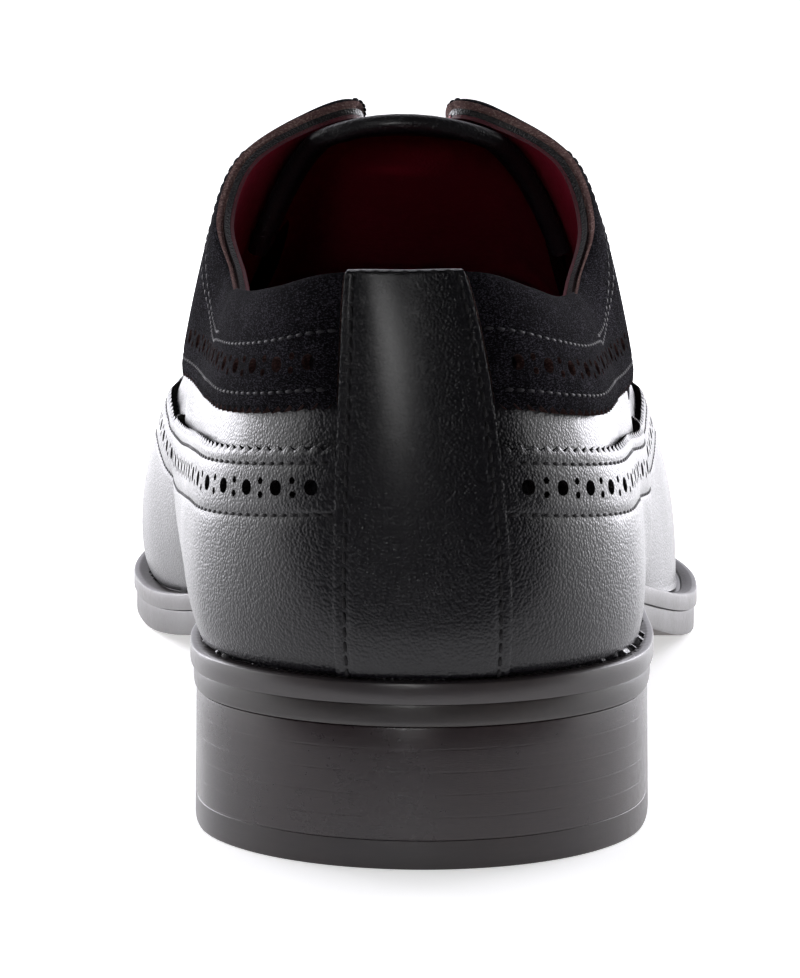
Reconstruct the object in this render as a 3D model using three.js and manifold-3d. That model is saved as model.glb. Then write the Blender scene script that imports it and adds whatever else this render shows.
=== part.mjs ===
import * as THREE from 'three';
import { mergeVertices } from 'three/addons/utils/BufferGeometryUtils.js';
import Module from 'manifold-3d';

// A wingtip derby for the right foot. Millimetres, +Z up, +Y to the toe, +X to the outer side.
// The origin is the centre of the heel's ground face.

const wasm = await Module();
wasm.setup();

// Driving sizes of the sole
const soleLength = 302;
const heelBreadth = 69.4;
const waistBreadth = 63;
const ballBreadth = 108;
const toeBreadth = 76;
const heelLength = 70;
const heelHeight = 20;
const heelFlare = 0.3;
const breastDepth = 4;
const topLiftThickness = 4;
const outsoleHeelThickness = 3;
const outsoleForeThickness = 4.6;
const outsoleInset = 0.5;
const heelInset = 0.1;
const weltThickness = 3.2;
const weltRevealHeel = 4.3;
const weltRevealFore = 5.6;
const weltLedge = 1;
const toeSpring = 10.5;
const toeSpringCurve = 1.6;
const insoleThickness = 4.4;
const backToOrigin = 34;
const seatGap = 0.3;

// Driving sizes of the upper
const wall = 1.6;
const backHeight = 56;
const ankleHeight = 48;
const ankleDip = 1.4;
const instepHeight = 78.4;
const vampHeight = 59.7;
const toeHeight = 35;
const collarBreadth = 58;
const throatGap = 15;
const sideBulge = 10;
const upperLean = 2.6;
const toeSwing = 7.3;
const swingStart = 0.35;
const swingLength = 0.5;

// Driving sizes of the leather laid over the upper, of the tongue and of the lace
const overlay = 1.2;
const backstayThickness = 1.6;
const layerGap = 0.5;
const tongueThickness = 2.4;
const tongueGap = 0.7;
const laceDiameter = 2.4;
const eyeletPairs = 5;
const eyeletStep = 0.8;

// The tread's flat stretch under the ball of the foot, as shares of the sole's length
const treadBack = 0.645;
const treadFront = 0.76;

// Sections from the heel's back to the toe's tip. Each one is a share of the sole's length,
// then the inner and outer half breadths of the welt as shares of a named breadth.
const soleColumns = ['along', 'medial', 'lateral', 'breadth'];
const soleRows = [
  [0, 0, 0, heelBreadth],
  [0.009, 0.194, 0.192, heelBreadth],
  [0.0344, 0.357, 0.352, heelBreadth],
  [0.073, 0.464, 0.456, heelBreadth],
  [0.126, 0.4985, 0.4955, heelBreadth],
  [0.182, 0.487, 0.498, heelBreadth],
  [0.232, 0.461, 0.497, heelBreadth],
  [0.275, 0.479, 0.546, waistBreadth],
  [0.3146, 0.457, 0.551, waistBreadth],
  [0.354, 0.448, 0.568, waistBreadth],
  [0.394, 0.467, 0.603, waistBreadth],
  [0.44, 0.307, 0.381, ballBreadth],
  [0.493, 0.363, 0.4185, ballBreadth],
  [0.55, 0.422, 0.4555, ballBreadth],
  [0.6126, 0.48, 0.486, ballBreadth],
  [0.679, 0.5176, 0.494, ballBreadth],
  [0.742, 0.524, 0.474, ballBreadth],
  [0.801, 0.506, 0.427, ballBreadth],
  [0.854, 0.66, 0.512, toeBreadth],
  [0.9007, 0.592, 0.41, toeBreadth],
  [0.94, 0.499, 0.307, toeBreadth],
  [0.971, 0.386, 0.194, toeBreadth],
  [0.991, 0.26, 0.068, toeBreadth],
  [1, toeSwing / toeBreadth, -toeSwing / toeBreadth, toeBreadth],
];

// The upper's top edge over the same sections: round the collar, down the throat's side, then
// along the closed ridge. Height is a share of a named height above the welt, spread a share of
// a named breadth, and dip lowers the outer side of the collar.
const edgeColumns = ['reach', 'rise', 'height', 'spread', 'opening', 'dip'];
const edgeRows = [
  [0.018, 1, backHeight, 0, collarBreadth, 0],
  [0.0235, 0.996, backHeight, 0.164, collarBreadth, 0],
  [0.05, 0.95, backHeight, 0.284, collarBreadth, 0.3],
  [0.09, 0.915, backHeight, 0.359, collarBreadth, 0.7],
  [0.136, 0.9, backHeight, 0.409, collarBreadth, 0.56],
  [0.18, 1.021, ankleHeight, 0.428, collarBreadth, 0.8],
  [0.219, 1.069, ankleHeight, 0.45, collarBreadth, 0.74],
  [0.255, 0.749, instepHeight, 0.492, collarBreadth, 0.44],
  [0.288, 0.871, instepHeight, 0.438, collarBreadth, 0.06],
  [0.315, 0.955, instepHeight, 0.282, collarBreadth, 0.02],
  [0.335, 0.992, instepHeight, 0.51, throatGap, 0],
  [0.39, 0.938, instepHeight, 0.5, throatGap, 0],
  [0.453, 0.872, instepHeight, 0.5, throatGap, 0],
  [0.506, 0.82, instepHeight, 0.46, throatGap, 0],
  [0.537, 1.04, vampHeight, 0, throatGap, 0],
  [0.609, 0.914, vampHeight, 0, throatGap, 0],
  [0.662, 0.823, vampHeight, 0, throatGap, 0],
  [0.709, 0.748, vampHeight, 0, throatGap, 0],
  [0.748, 0.694, vampHeight, 0, throatGap, 0],
  [0.781, 1.114, toeHeight, 0, throatGap, 0],
  [0.805, 1.066, toeHeight, 0, throatGap, 0],
  [0.821, 1.03, toeHeight, 0, throatGap, 0],
  [0.83, 1.008, toeHeight, 0, throatGap, 0],
  [0.833, 1, toeHeight, 0, throatGap, 0],
];

// The wall's shape over the same sections: how far it swells past the feather line on each
// side, how far it turns in before its top edge (1 is level), how square its shoulder is, and
// how high the two overlaid panels' edges lie as shares of the wall's height.
const wallColumns = ['swellIn', 'swellOut', 'turn', 'shoulder', 'quarterEdge', 'wingEdge'];
const wallRows = [
  [0.38, 0.38, 0.62, 1, 0.675, 0.58],
  [0.38, 0.38, 0.62, 1, 0.674, 0.582],
  [0.28, 0.26, 0.62, 1, 0.677, 0.587],
  [0.26, 0.18, 0.62, 1, 0.682, 0.588],
  [0.34, 0.16, 0.62, 1, 0.69, 0.584],
  [0.6, 0.24, 0.62, 0.97, 0.688, 0.57],
  [0.94, 0.46, 0.64, 0.96, 0.655, 0.52],
  [1.22, 0.42, 0.68, 0.98, 0.58, 0.455],
  [1.34, 0.32, 0.76, 1, 0.505, 0.396],
  [1.26, 0.25, 0.88, 1.02, 0.452, 0.355],
  [1.1, 0.24, 1, 0.97, 0.412, 0.326],
  [0.94, 0.1, 1, 0.88, 0.44, 0.352],
  [0.8, -0.05, 1, 0.78, 0.5, 0.41],
  [0.64, -0.12, 1, 0.68, 0.66, 0.49],
  [0.46, -0.1, 1, 0.62, 1, 0.58],
  [0.32, 0.06, 1, 0.62, 1, 0.7],
  [0.26, 0.26, 1, 0.62, 1, 1],
  [0.27, 0.33, 1, 0.63, 1, 1],
  [0.31, 0.37, 1, 0.65, 1, 1],
  [0.35, 0.37, 1, 0.66, 1, 1],
  [0.33, 0.32, 1, 0.7, 1, 1],
  [0.32, 0.32, 1, 0.74, 1, 1],
  [0.3, 0.3, 1, 0.76, 1, 1],
  [0.3, 0.3, 1, 0.76, 1, 1],
];

// Places along the sections, counted from the heel's back
const sections = soleRows.length - 1;
const around = 2 * sections;
const throatEnd = 14;
const wingPeak = 16;
const backstayFoot = 0.93;
const backstayTop = 0.77;
const backstayGap = 0.03;
const quarterFront = 13.4;
const tongueTop = 9;
const tongueToe = 15;
const tongueSideStep = 5;
const tongueBridgeSteps = 5;
const firstEyelet = 12.8;
const lastEyelet = 11;

// A lace strand's way from its eyelet to the ridge: share of the way along to the other side's
// eyelet, place up the wall, and lift over the facing
const strandColumns = ['share', 'step', 'lift'];
const strandRows = [
  [0, eyeletStep, 0],
  [0.1, (eyeletStep + 1) / 2, 0.2],
  [0.25, 1, 0.3],
];

// Fineness of the faceted surfaces
const columnColumns = ['from', 'to', 'perSection'];
const columnRows = [
  [0, 4, 2],
  [4, 8, 1],
  [8, 10.5, 4],
  [10.5, throatEnd, 2],
  [throatEnd, sections, 1],
];
const wallSteps = 9;
const cutterColumnsPerSection = 3;
const cutterSteps = 10;
const laceSteps = 5;
const laceSides = 6;
const cutterReach = 6;
const cutterOvershoot = 3;
const cutterLip = 0.06;
const cutterMargin = 0.2;
const cutterEdgeStep = 0.04;
const searchSteps = 40;
const tangentStep = 0.02;
const normalStep = 0.01;

const calf = new THREE.MeshStandardMaterial({ color: 0x1d1b1f, roughness: 0.32 });
const suede = new THREE.MeshStandardMaterial({ color: 0x35313a, roughness: 0.95 });
const edgeLeather = new THREE.MeshStandardMaterial({ color: 0x3a3538, roughness: 0.4 });
const heelLeather = new THREE.MeshStandardMaterial({ color: 0x2c2628, roughness: 0.35 });
const tread = new THREE.MeshStandardMaterial({ color: 0x2a2422, roughness: 0.6 });
const rubber = new THREE.MeshStandardMaterial({ color: 0x1c1a1b, roughness: 0.75 });
const lining = new THREE.MeshStandardMaterial({ color: 0x5a0a16, roughness: 0.7 });
const cotton = new THREE.MeshStandardMaterial({ color: 0x141316, roughness: 0.85 });

const clamp01 = (value) => Math.min(1, Math.max(0, value));
const smooth = (value) => clamp01(value) ** 2 * (3 - 2 * clamp01(value));
const mix = (a, b, share) => a + (b - a) * share;

// Each column of the three tables as a closed list round the shoe: the outer side's sections
// from the heel to the toe, then the inner side's back again.
function ringOf(outerValue, innerValue) {
  const ring = [];
  for (let k = 0; k < around; k += 1) {
    ring.push(k <= sections ? outerValue(k) : innerValue(around - k));
  }
  return ring;
}

function named(columns, rows) {
  return rows.map((row) => Object.fromEntries(columns.map((name, i) => [name, row[i]])));
}

const sole = named(soleColumns, soleRows);
const edge = named(edgeColumns, edgeRows);
const shape = named(wallColumns, wallRows);

const same = (value) => ringOf(value, value);
const rings = {
  outlineX: ringOf((k) => sole[k].lateral * sole[k].breadth, (k) => -sole[k].medial * sole[k].breadth),
  outlineY: same((k) => sole[k].along * soleLength - backToOrigin),
  topY: same((k) => edge[k].reach * soleLength - backToOrigin),
  topRise: ringOf(
    (k) => edge[k].rise * edge[k].height - edge[k].dip * ankleDip,
    (k) => edge[k].rise * edge[k].height,
  ),
  spread: ringOf((k) => edge[k].spread * edge[k].opening, (k) => -edge[k].spread * edge[k].opening),
  swell: ringOf((k) => shape[k].swellOut * sideBulge, (k) => shape[k].swellIn * sideBulge),
  turn: same((k) => shape[k].turn),
  shoulder: same((k) => shape[k].shoulder),
  quarterEdge: same((k) => shape[k].quarterEdge),
  wingEdge: same((k) => shape[k].wingEdge),
};

// A smooth value between sections, by a Catmull-Rom spline round the closed list
function at(name, u) {
  const ring = rings[name];
  const start = Math.floor(u);
  const share = u - start;
  const value = (k) => ring[(((start + k) % around) + around) % around];
  const [a, b, c, d] = [value(-1), value(0), value(1), value(2)];
  const bend = 2 * a - 5 * b + 4 * c - d + share * (3 * (b - c) + d - a);
  return b + 0.5 * share * (c - a + share * bend);
}

// Distance from the heel's back in sections, whichever side u is on
function sectionOf(u) {
  const wrapped = ((u % around) + around) % around;
  return Math.min(wrapped, around - wrapped);
}

// The walking surface: level under the heel, down the arch, flat under the ball, up at the toe
function groundLine(y) {
  const fromBack = y + backToOrigin;
  const archStart = heelLength + seatGap;
  const arch = smooth((fromBack - archStart) / (treadBack * soleLength - archStart));
  const toe = clamp01((fromBack / soleLength - treadFront) / (1 - treadFront));
  return (heelHeight + seatGap) * (1 - arch) + toeSpring * toe ** toeSpringCurve;
}

// How far a place lies from the heel, 0, towards the ball, 1
const foreShare = (y) => smooth((y + backToOrigin - heelLength) / (treadBack * soleLength - heelLength));

const outsoleTop = (y) => groundLine(y) + mix(outsoleHeelThickness, outsoleForeThickness, foreShare(y));

const weltTop = (y) => outsoleTop(y) + seatGap + weltThickness;

// The welt's outline, moved inwards by an inset along its own normal
function outline(u, inset) {
  const tangentX = at('outlineX', u + tangentStep) - at('outlineX', u - tangentStep);
  const tangentY = at('outlineY', u + tangentStep) - at('outlineY', u - tangentStep);
  const length = Math.hypot(tangentX, tangentY);
  return new THREE.Vector2(
    at('outlineX', u) - (inset * tangentY) / length,
    at('outlineY', u) + (inset * tangentX) / length,
  );
}

const weltReveal = (u) => mix(weltRevealHeel, weltRevealFore, foreShare(at('outlineY', u)));

// The middle of the upper swings from its lean at the heel to the toe's tip
function ridgeX(y) {
  const share = (y + backToOrigin) / soleLength;
  return -mix(upperLean, toeSwing, smooth((share - swingStart) / swingLength));
}

// A point of the upper's outer surface: u runs round the shoe and t up the wall
function skinPoint(u, t) {
  const foot = outline(u, weltReveal(u));
  const footZ = weltTop(foot.y) + seatGap;
  const topY = at('topY', u);
  const spread = sectionOf(u) >= throatEnd ? 0 : at('spread', u);
  const topX = ridgeX(topY) + spread;
  const topZ = weltTop(topY) + seatGap + at('topRise', u);
  const fullTurn = at('turn', u) * Math.PI / 2;
  const climb = (1 - Math.cos(Math.PI * t)) / 2;
  const angle = fullTurn * climb;
  const last = Math.max(0, Math.cos(fullTurn)) ** at('shoulder', u);
  const inward = 1 - (Math.max(0, Math.cos(angle)) ** at('shoulder', u) - last) / (1 - last);
  const out = outline(u, 0).sub(outline(u, 1));
  const swell = at('swell', u) * Math.sin(Math.PI * Math.sqrt(climb));
  return new THREE.Vector3(
    mix(foot.x, topX, inward) + out.x * swell,
    mix(foot.y, topY, inward) + out.y * swell,
    mix(footZ, topZ, Math.sin(angle) / Math.sin(fullTurn)),
  );
}

// The outward normal: level at the feather line and square to the ridge where it is closed
function skinNormal(u, t) {
  const alongU = skinPoint(u + normalStep, t).sub(skinPoint(u - normalStep, t));
  if (t >= 1 && sectionOf(u) >= throatEnd) {
    const ahead = Math.min(sections, sectionOf(u) + normalStep);
    const back = Math.max(throatEnd, sectionOf(u) - normalStep);
    const ridge = skinPoint(ahead, 1).sub(skinPoint(back, 1));
    return new THREE.Vector3(0, -ridge.z, ridge.y).normalize();
  }
  if (t <= 0) {
    const out = outline(u, 0).sub(outline(u, 1));
    return new THREE.Vector3(out.x, out.y, 0).normalize();
  }
  const upT = skinPoint(u, Math.min(1, t + normalStep)).sub(skinPoint(u, Math.max(0, t - normalStep)));
  return alongU.cross(upT).normalize();
}

const skin = (u, t, offset) => skinPoint(u, t).addScaledVector(skinNormal(u, t), offset);

// The place t where the wall reaches a share of its height
function stepAtHeight(u, share) {
  const fullTurn = at('turn', u) * Math.PI / 2;
  const climb = Math.asin(clamp01(share) * Math.sin(fullTurn)) / fullTurn;
  return Math.acos(1 - 2 * clamp01(climb)) / Math.PI;
}

// A closed mesh from points and quads, without the triangles that fold to a line
function solidFrom(name, points, quads, material) {
  const flat = points.flatMap((point) => [point.x, point.y, point.z]);
  const index = quads.flatMap(([a, b, c, d]) => (d === undefined ? [a, b, c] : [a, b, c, a, c, d]));
  let geometry = new THREE.BufferGeometry();
  geometry.setAttribute('position', new THREE.Float32BufferAttribute(flat, 3));
  geometry.setIndex(index);
  geometry = mergeVertices(geometry, 1e-3);
  const merged = geometry.getIndex().array;
  const kept = [];
  for (let i = 0; i < merged.length; i += 3) {
    const [a, b, c] = [merged[i], merged[i + 1], merged[i + 2]];
    if (a !== b && b !== c && c !== a) kept.push(a, b, c);
  }
  geometry.setIndex(kept);
  geometry.computeVertexNormals();
  const mesh = new THREE.Mesh(geometry, material);
  mesh.name = name;
  return mesh;
}

// A shell between an outer and an inner grid of points. Columns run round the shoe and rows up
// the wall; a looped shell has no ends, and openTop says which columns have a free top edge.
function shell(name, outer, inner, material, loop = false, openTop = () => true) {
  const columns = outer.length;
  const rows = outer[0].length;
  const points = [...outer.flat(), ...inner.flat()];
  const out = (c, r) => (c % columns) * rows + r;
  const back = (c, r) => columns * rows + out(c, r);
  const quads = [];
  for (let c = 0; c < (loop ? columns : columns - 1); c += 1) {
    for (let r = 0; r < rows - 1; r += 1) {
      quads.push([out(c, r), out(c + 1, r), out(c + 1, r + 1), out(c, r + 1)]);
      quads.push([back(c, r + 1), back(c + 1, r + 1), back(c + 1, r), back(c, r)]);
    }
    quads.push([back(c, 0), back(c + 1, 0), out(c + 1, 0), out(c, 0)]);
    const top = rows - 1;
    if (openTop(c)) quads.push([out(c, top), out(c + 1, top), back(c + 1, top), back(c, top)]);
  }
  if (!loop) {
    const end = columns - 1;
    for (let r = 0; r < rows - 1; r += 1) {
      quads.push([out(0, r), out(0, r + 1), back(0, r + 1), back(0, r)]);
      quads.push([out(end, r + 1), out(end, r), back(end, r), back(end, r + 1)]);
    }
  }
  return solidFrom(name, points, quads, material);
}

// A solid plate between two closed outlines, its faces laid from side to side
function plate(name, bottom, top, material) {
  const count = bottom.length;
  const points = [...bottom, ...top];
  const quads = [];
  for (let k = 0; k < count; k += 1) {
    const next = (k + 1) % count;
    quads.push([k, next, count + next, count + k]);
  }
  for (let k = 0; k < count / 2; k += 1) {
    const across = (count - k) % count;
    const acrossNext = count - k - 1;
    quads.push([count + k, count + k + 1, count + acrossNext, count + across]);
    quads.push([across, acrossNext, k + 1, k]);
  }
  return solidFrom(name, points, quads, material);
}

// The columns of every surface, closest at the heel's curve and the collar's front corners
const sideColumns = [0];
for (const { from, to, perSection } of named(columnColumns, columnRows)) {
  for (let s = from + 1 / perSection; s < to + 1e-6; s += 1 / perSection) sideColumns.push(s);
}
const columnList = [...sideColumns, ...sideColumns.slice(1, -1).reverse().map((s) => around - s)];

// A closed outline at an inset, lifted to the height that a function of y gives
function outlineRing(inset, heightAt) {
  return columnList.map((u) => {
    const spot = outline(u, inset(u));
    return new THREE.Vector3(spot.x, spot.y, heightAt(spot.y));
  });
}

function makeOutsole() {
  const inset = () => outsoleInset;
  return plate('outsole', outlineRing(inset, groundLine), outlineRing(inset, outsoleTop), tread);
}

// The welt runs all the way round, and the upper stands on it
function makeWelt() {
  const innerInset = (u) => weltReveal(u) + wall + weltLedge;
  const low = (y) => outsoleTop(y) + seatGap;
  const band = (inset) => {
    const high = outlineRing(inset, weltTop);
    return outlineRing(inset, low).map((point, k) => [point, high[k]]);
  };
  return shell('welt', band(() => 0), band(innerInset), edgeLeather, true);
}

function makeInsole() {
  const inset = (u) => weltReveal(u) + wall + weltLedge + layerGap;
  const low = (y) => outsoleTop(y) + seatGap;
  const high = (y) => low(y) + insoleThickness;
  return plate('insole', outlineRing(inset, low), outlineRing(inset, high), lining);
}

// The section whose place along the shoe is y
function sectionAtY(y) {
  let low = 0;
  let high = sections;
  for (let k = 0; k < searchSteps; k += 1) {
    const middle = (low + high) / 2;
    if (at('outlineY', middle) < y) low = middle;
    else high = middle;
  }
  return (low + high) / 2;
}

// The heel's outline at a height: round the back, then a hollow breast across the front
function heelRing(z) {
  const inset = outsoleInset + heelInset + heelFlare * (z / heelHeight);
  const front = sectionAtY(heelLength - backToOrigin);
  const sideSteps = 10;
  const breastSteps = 6;
  const ring = [];
  for (let k = -sideSteps; k <= sideSteps; k += 1) {
    const spot = outline((front * k) / sideSteps, inset);
    ring.push(new THREE.Vector3(spot.x, spot.y, z));
  }
  const inner = ring[0];
  const outer = ring[ring.length - 1];
  for (let k = 1; k < breastSteps; k += 1) {
    const share = k / breastSteps;
    const hollow = breastDepth * Math.sin(Math.PI * share);
    ring.push(new THREE.Vector3(mix(outer.x, inner.x, share), mix(outer.y, inner.y, share) - hollow, z));
  }
  return ring;
}

// A block of the heel between two heights
function heelBlock(name, low, high, material) {
  const levels = [low, (low + high) / 2, high].map(heelRing);
  const count = levels[0].length;
  const quads = [];
  for (let level = 0; level < levels.length - 1; level += 1) {
    for (let k = 0; k < count; k += 1) {
      const base = level * count;
      const next = (k + 1) % count;
      quads.push([base + k, base + next, base + count + next, base + count + k]);
    }
  }
  const flat = levels[0].map((point) => new THREE.Vector2(point.x, point.y));
  const top = (levels.length - 1) * count;
  for (const [a, b, c] of THREE.ShapeUtils.triangulateShape(flat, [])) {
    quads.push([c, b, a]);
    quads.push([top + a, top + b, top + c]);
  }
  return solidFrom(name, levels.flat(), quads, material);
}

// One grid of skin points at an offset, over a list of columns and a span of t in each
function skinGrid(columns, span, steps, offset) {
  return columns.map((u) => {
    const [low, high] = span(u);
    return Array.from({ length: steps + 1 }, (_, r) => {
      const point = skin(u, mix(low, high, r / steps), offset);
      point.z = Math.max(point.z, weltTop(point.y) + seatGap);
      return point;
    });
  });
}

// The hollow upper: open underneath, at the collar and down the throat
function makeUpper() {
  const whole = () => [0, 1];
  const outer = skinGrid(columnList, whole, wallSteps, 0);
  const inner = skinGrid(columnList, whole, wallSteps, -wall);
  return shell('upper', outer, inner, calf, true, hasFreeTop);
}

function manifoldOf(geometry) {
  const bare = geometry.clone();
  bare.deleteAttribute('normal');
  bare.deleteAttribute('uv');
  const merged = mergeVertices(bare, 1e-4);
  const vertProperties = new Float32Array(merged.getAttribute('position').array);
  const triVerts = new Uint32Array(merged.getIndex().array);
  return new wasm.Manifold(new wasm.Mesh({ numProp: 3, vertProperties, triVerts }));
}

function meshOfManifold(name, body, material) {
  const { vertProperties, triVerts } = body.getMesh();
  const points = [];
  for (let i = 0; i < vertProperties.length; i += 3) {
    points.push(new THREE.Vector3(...vertProperties.slice(i, i + 3)));
  }
  const triangles = [];
  for (let i = 0; i < triVerts.length; i += 3) triangles.push(Array.from(triVerts.slice(i, i + 3)));
  return solidFrom(name, points, triangles, material);
}

// The upper is open above the ridge's closed stretch, so its top edge is free there
function hasFreeTop(c) {
  const next = columnList[(c + 1) % columnList.length];
  return sectionOf(columnList[c]) < throatEnd || sectionOf(next) < throatEnd;
}

// A second skin over the whole upper, from which the overlaid panels are cut
function layerOver(thickness) {
  const span = () => [1 / wallSteps, 1];
  const outer = skinGrid(columnList, span, wallSteps - 1, layerGap + thickness);
  const inner = skinGrid(columnList, span, wallSteps - 1, layerGap);
  return manifoldOf(shell('layer', outer, inner, calf, true, hasFreeTop).geometry);
}

// The columns of a cutter that starts and ends between the upper's own
function cutterColumns(from, to) {
  const count = 2 * around * cutterColumnsPerSection;
  const inside = Array.from({ length: count }, (_, k) => k / cutterColumnsPerSection - around);
  const margin = cutterMargin / cutterColumnsPerSection;
  return [from, ...inside.filter((u) => u > from + margin && u < to - margin), to];
}

// The backstay narrows to its top, and the panels beside it keep to its edges
function leaned(u, t) {
  const side = ((u % around) + around) % around < sections ? 1 : -1;
  const fromFoot = sectionOf(u) / backstayFoot;
  const share = clamp01(fromFoot < 1 ? fromFoot : 2 - fromFoot);
  return u + side * share * (backstayTop - backstayFoot) * t;
}

// A thick region of the upper's wall between two edges. Where it reaches the upper's own top
// edge it runs on past it by the cutter's overshoot.
function cutter(from, to, span, closed = () => false) {
  const columns = cutterColumns(from, to);
  const grid = (offset) => columns.map((u) => {
    const [low, high] = span(u);
    const onCutter = (t) => skin(leaned(u, t), t, offset);
    const line = Array.from({ length: cutterSteps + 1 }, (_, r) => onCutter(mix(low, high, r / cutterSteps)));
    const last = line[cutterSteps];
    const onward = last.clone().sub(onCutter(Math.max(0, high - cutterEdgeStep))).normalize();
    const reach = high >= 1 ? cutterOvershoot : cutterLip;
    line.push(last.clone().addScaledVector(onward, closed(u) ? 0 : reach));
    return line;
  });
  const open = (c) => !closed(columns[c]) || !closed(columns[c + 1]);
  const region = shell('cutter', grid(cutterReach), grid(-cutterReach / 2), calf, false, open);
  return manifoldOf(region.geometry);
}

function overlayPanel(name, thickness, region, material) {
  return meshOfManifold(name, layerOver(thickness).intersect(region), material);
}

// The long wing: from the backstay round the toe and back, its edge rising to a peak
function makeWing() {
  const from = backstayFoot + backstayGap;
  const closed = (u) => sectionOf(u) >= wingPeak;
  const span = (u) => [0, closed(u) ? 1 : stepAtHeight(u, at('wingEdge', u))];
  return overlayPanel('wing', overlay, cutter(from, around - from, span, closed), calf);
}

// The suede quarters: collar and facing, down to the scalloped edge above the wing
function makeQuarter(name, side) {
  const near = backstayFoot + backstayGap;
  const from = side > 0 ? near : -quarterFront;
  const to = side > 0 ? quarterFront : -near;
  const span = (u) => [stepAtHeight(u, at('quarterEdge', u)), 1];
  return overlayPanel(name, overlay, cutter(from, to, span), suede);
}

function makeBackstay() {
  const strip = cutter(-backstayFoot, backstayFoot, () => [0, 1]);
  return overlayPanel('backstay', backstayThickness, strip, calf);
}

// The tongue lies under both facings and the vamp, bridging the throat between them
function makeTongue() {
  const steps = wallSteps - tongueSideStep;
  const sideLow = tongueSideStep / wallSteps;
  const stations = sideColumns.filter((s) => s >= tongueTop && s <= tongueToe);
  const grid = (offset) => stations.map((s) => {
    const place = (r) => mix(sideLow, 1, r / steps);
    const sideLine = (u) => Array.from({ length: steps + 1 }, (_, r) => skin(u, place(r), offset));
    const outer = sideLine(s);
    const inner = sideLine(around - s).reverse();
    const [a, b] = [outer[steps], inner[0]];
    const reach = a.distanceTo(b) / 3;
    const leaveA = a.clone().sub(outer[steps - 1]).normalize();
    const leaveB = b.clone().sub(inner[1]).normalize();
    const bridge = new THREE.CubicBezierCurve3(
      a,
      a.clone().addScaledVector(leaveA, reach),
      b.clone().addScaledVector(leaveB, reach),
      b,
    );
    return [...outer, ...bridge.getPoints(tongueBridgeSteps).slice(1, -1), ...inner];
  });
  const top = -(wall + tongueGap);
  return shell('tongue', grid(top), grid(top - tongueThickness), calf);
}

// One strand over the facings, from the outer side's section to the inner side's
function laceStrand(from, to) {
  const rest = layerGap + overlay + layerGap + laceDiameter / 2;
  const onOuter = ({ share, step, lift }) => skin(mix(from, to, share), step, rest + lift);
  const onInner = ({ share, step, lift }) => skin(around - mix(to, from, share), step, rest + lift);
  const places = named(strandColumns, strandRows);
  const outer = places.map(onOuter);
  const inner = places.map(onInner).reverse();
  const middle = outer[outer.length - 1].clone().add(inner[0]).multiplyScalar(0.5);
  const path = new THREE.CatmullRomCurve3([...outer, middle, ...inner]);
  const round = new THREE.EllipseCurve(0, 0, laceDiameter / 2, laceDiameter / 2);
  const section = new THREE.Shape(round.getPoints(laceSides));
  return new THREE.ExtrudeGeometry(section, { steps: laceSteps, bevelEnabled: false, extrudePath: path });
}

// The lace: a bar across the lowest eyelets, then strands that cross up to the highest pair
function makeLace() {
  const pair = (k) => mix(firstEyelet, lastEyelet, k / (eyeletPairs - 1));
  let body = manifoldOf(laceStrand(pair(0), pair(0)));
  for (let k = 0; k < eyeletPairs - 1; k += 1) {
    body = body.add(manifoldOf(laceStrand(pair(k), pair(k + 1))));
    body = body.add(manifoldOf(laceStrand(pair(k + 1), pair(k))));
  }
  return meshOfManifold('lace', body, cotton);
}

const shoe = new THREE.Group();
shoe.add(
  heelBlock('top_lift', 0, topLiftThickness, rubber),
  heelBlock('heel_stack', topLiftThickness + seatGap, heelHeight, heelLeather),
  makeOutsole(),
  makeWelt(),
  makeInsole(),
  makeUpper(),
  makeWing(),
  makeQuarter('quarter_outer', 1),
  makeQuarter('quarter_inner', -1),
  makeBackstay(),
  makeTongue(),
  makeLace(),
);

export default shoe;
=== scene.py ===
# %% [markdown]
# # A right wingtip derby, seen from behind
# The shoe is already built as plain solids. This lesson dresses them: every leather piece is laid
# over the same last, with its seams, pinked edges and punched holes, and gets its own finish.
# All places are worked out in millimetres from the heel's ground face and stored in metres.

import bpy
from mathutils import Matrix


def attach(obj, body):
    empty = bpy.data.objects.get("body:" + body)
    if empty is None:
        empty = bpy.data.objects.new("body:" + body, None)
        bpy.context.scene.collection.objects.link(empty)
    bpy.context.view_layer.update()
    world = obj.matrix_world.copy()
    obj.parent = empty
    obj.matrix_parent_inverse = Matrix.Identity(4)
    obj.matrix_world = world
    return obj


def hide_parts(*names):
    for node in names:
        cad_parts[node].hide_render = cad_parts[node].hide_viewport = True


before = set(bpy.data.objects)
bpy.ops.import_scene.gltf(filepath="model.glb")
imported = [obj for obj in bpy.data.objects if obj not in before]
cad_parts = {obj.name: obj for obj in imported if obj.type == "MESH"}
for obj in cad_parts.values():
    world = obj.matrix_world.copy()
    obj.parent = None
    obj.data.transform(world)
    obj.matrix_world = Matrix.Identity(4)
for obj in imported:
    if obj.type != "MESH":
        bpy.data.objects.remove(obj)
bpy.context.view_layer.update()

# %% Tools from Blender and numpy
import math

import bmesh
import bpy
import numpy as np
from mathutils import Vector
from mathutils.kdtree import KDTree

MM = 0.001

# %% [markdown]
# ## The last
# A shoe is lasted: leather is pulled over a wooden form. Three short tables describe that form at
# 24 sections, from the heel's back to the toe's tip. A smooth curve through the sections gives a
# place on the last for any u, which runs round the shoe, and t, which runs up the wall from the
# welt to the top edge. Modelling by hand could follow a picture, but then the pieces would not
# fit the solids or each other.

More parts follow.
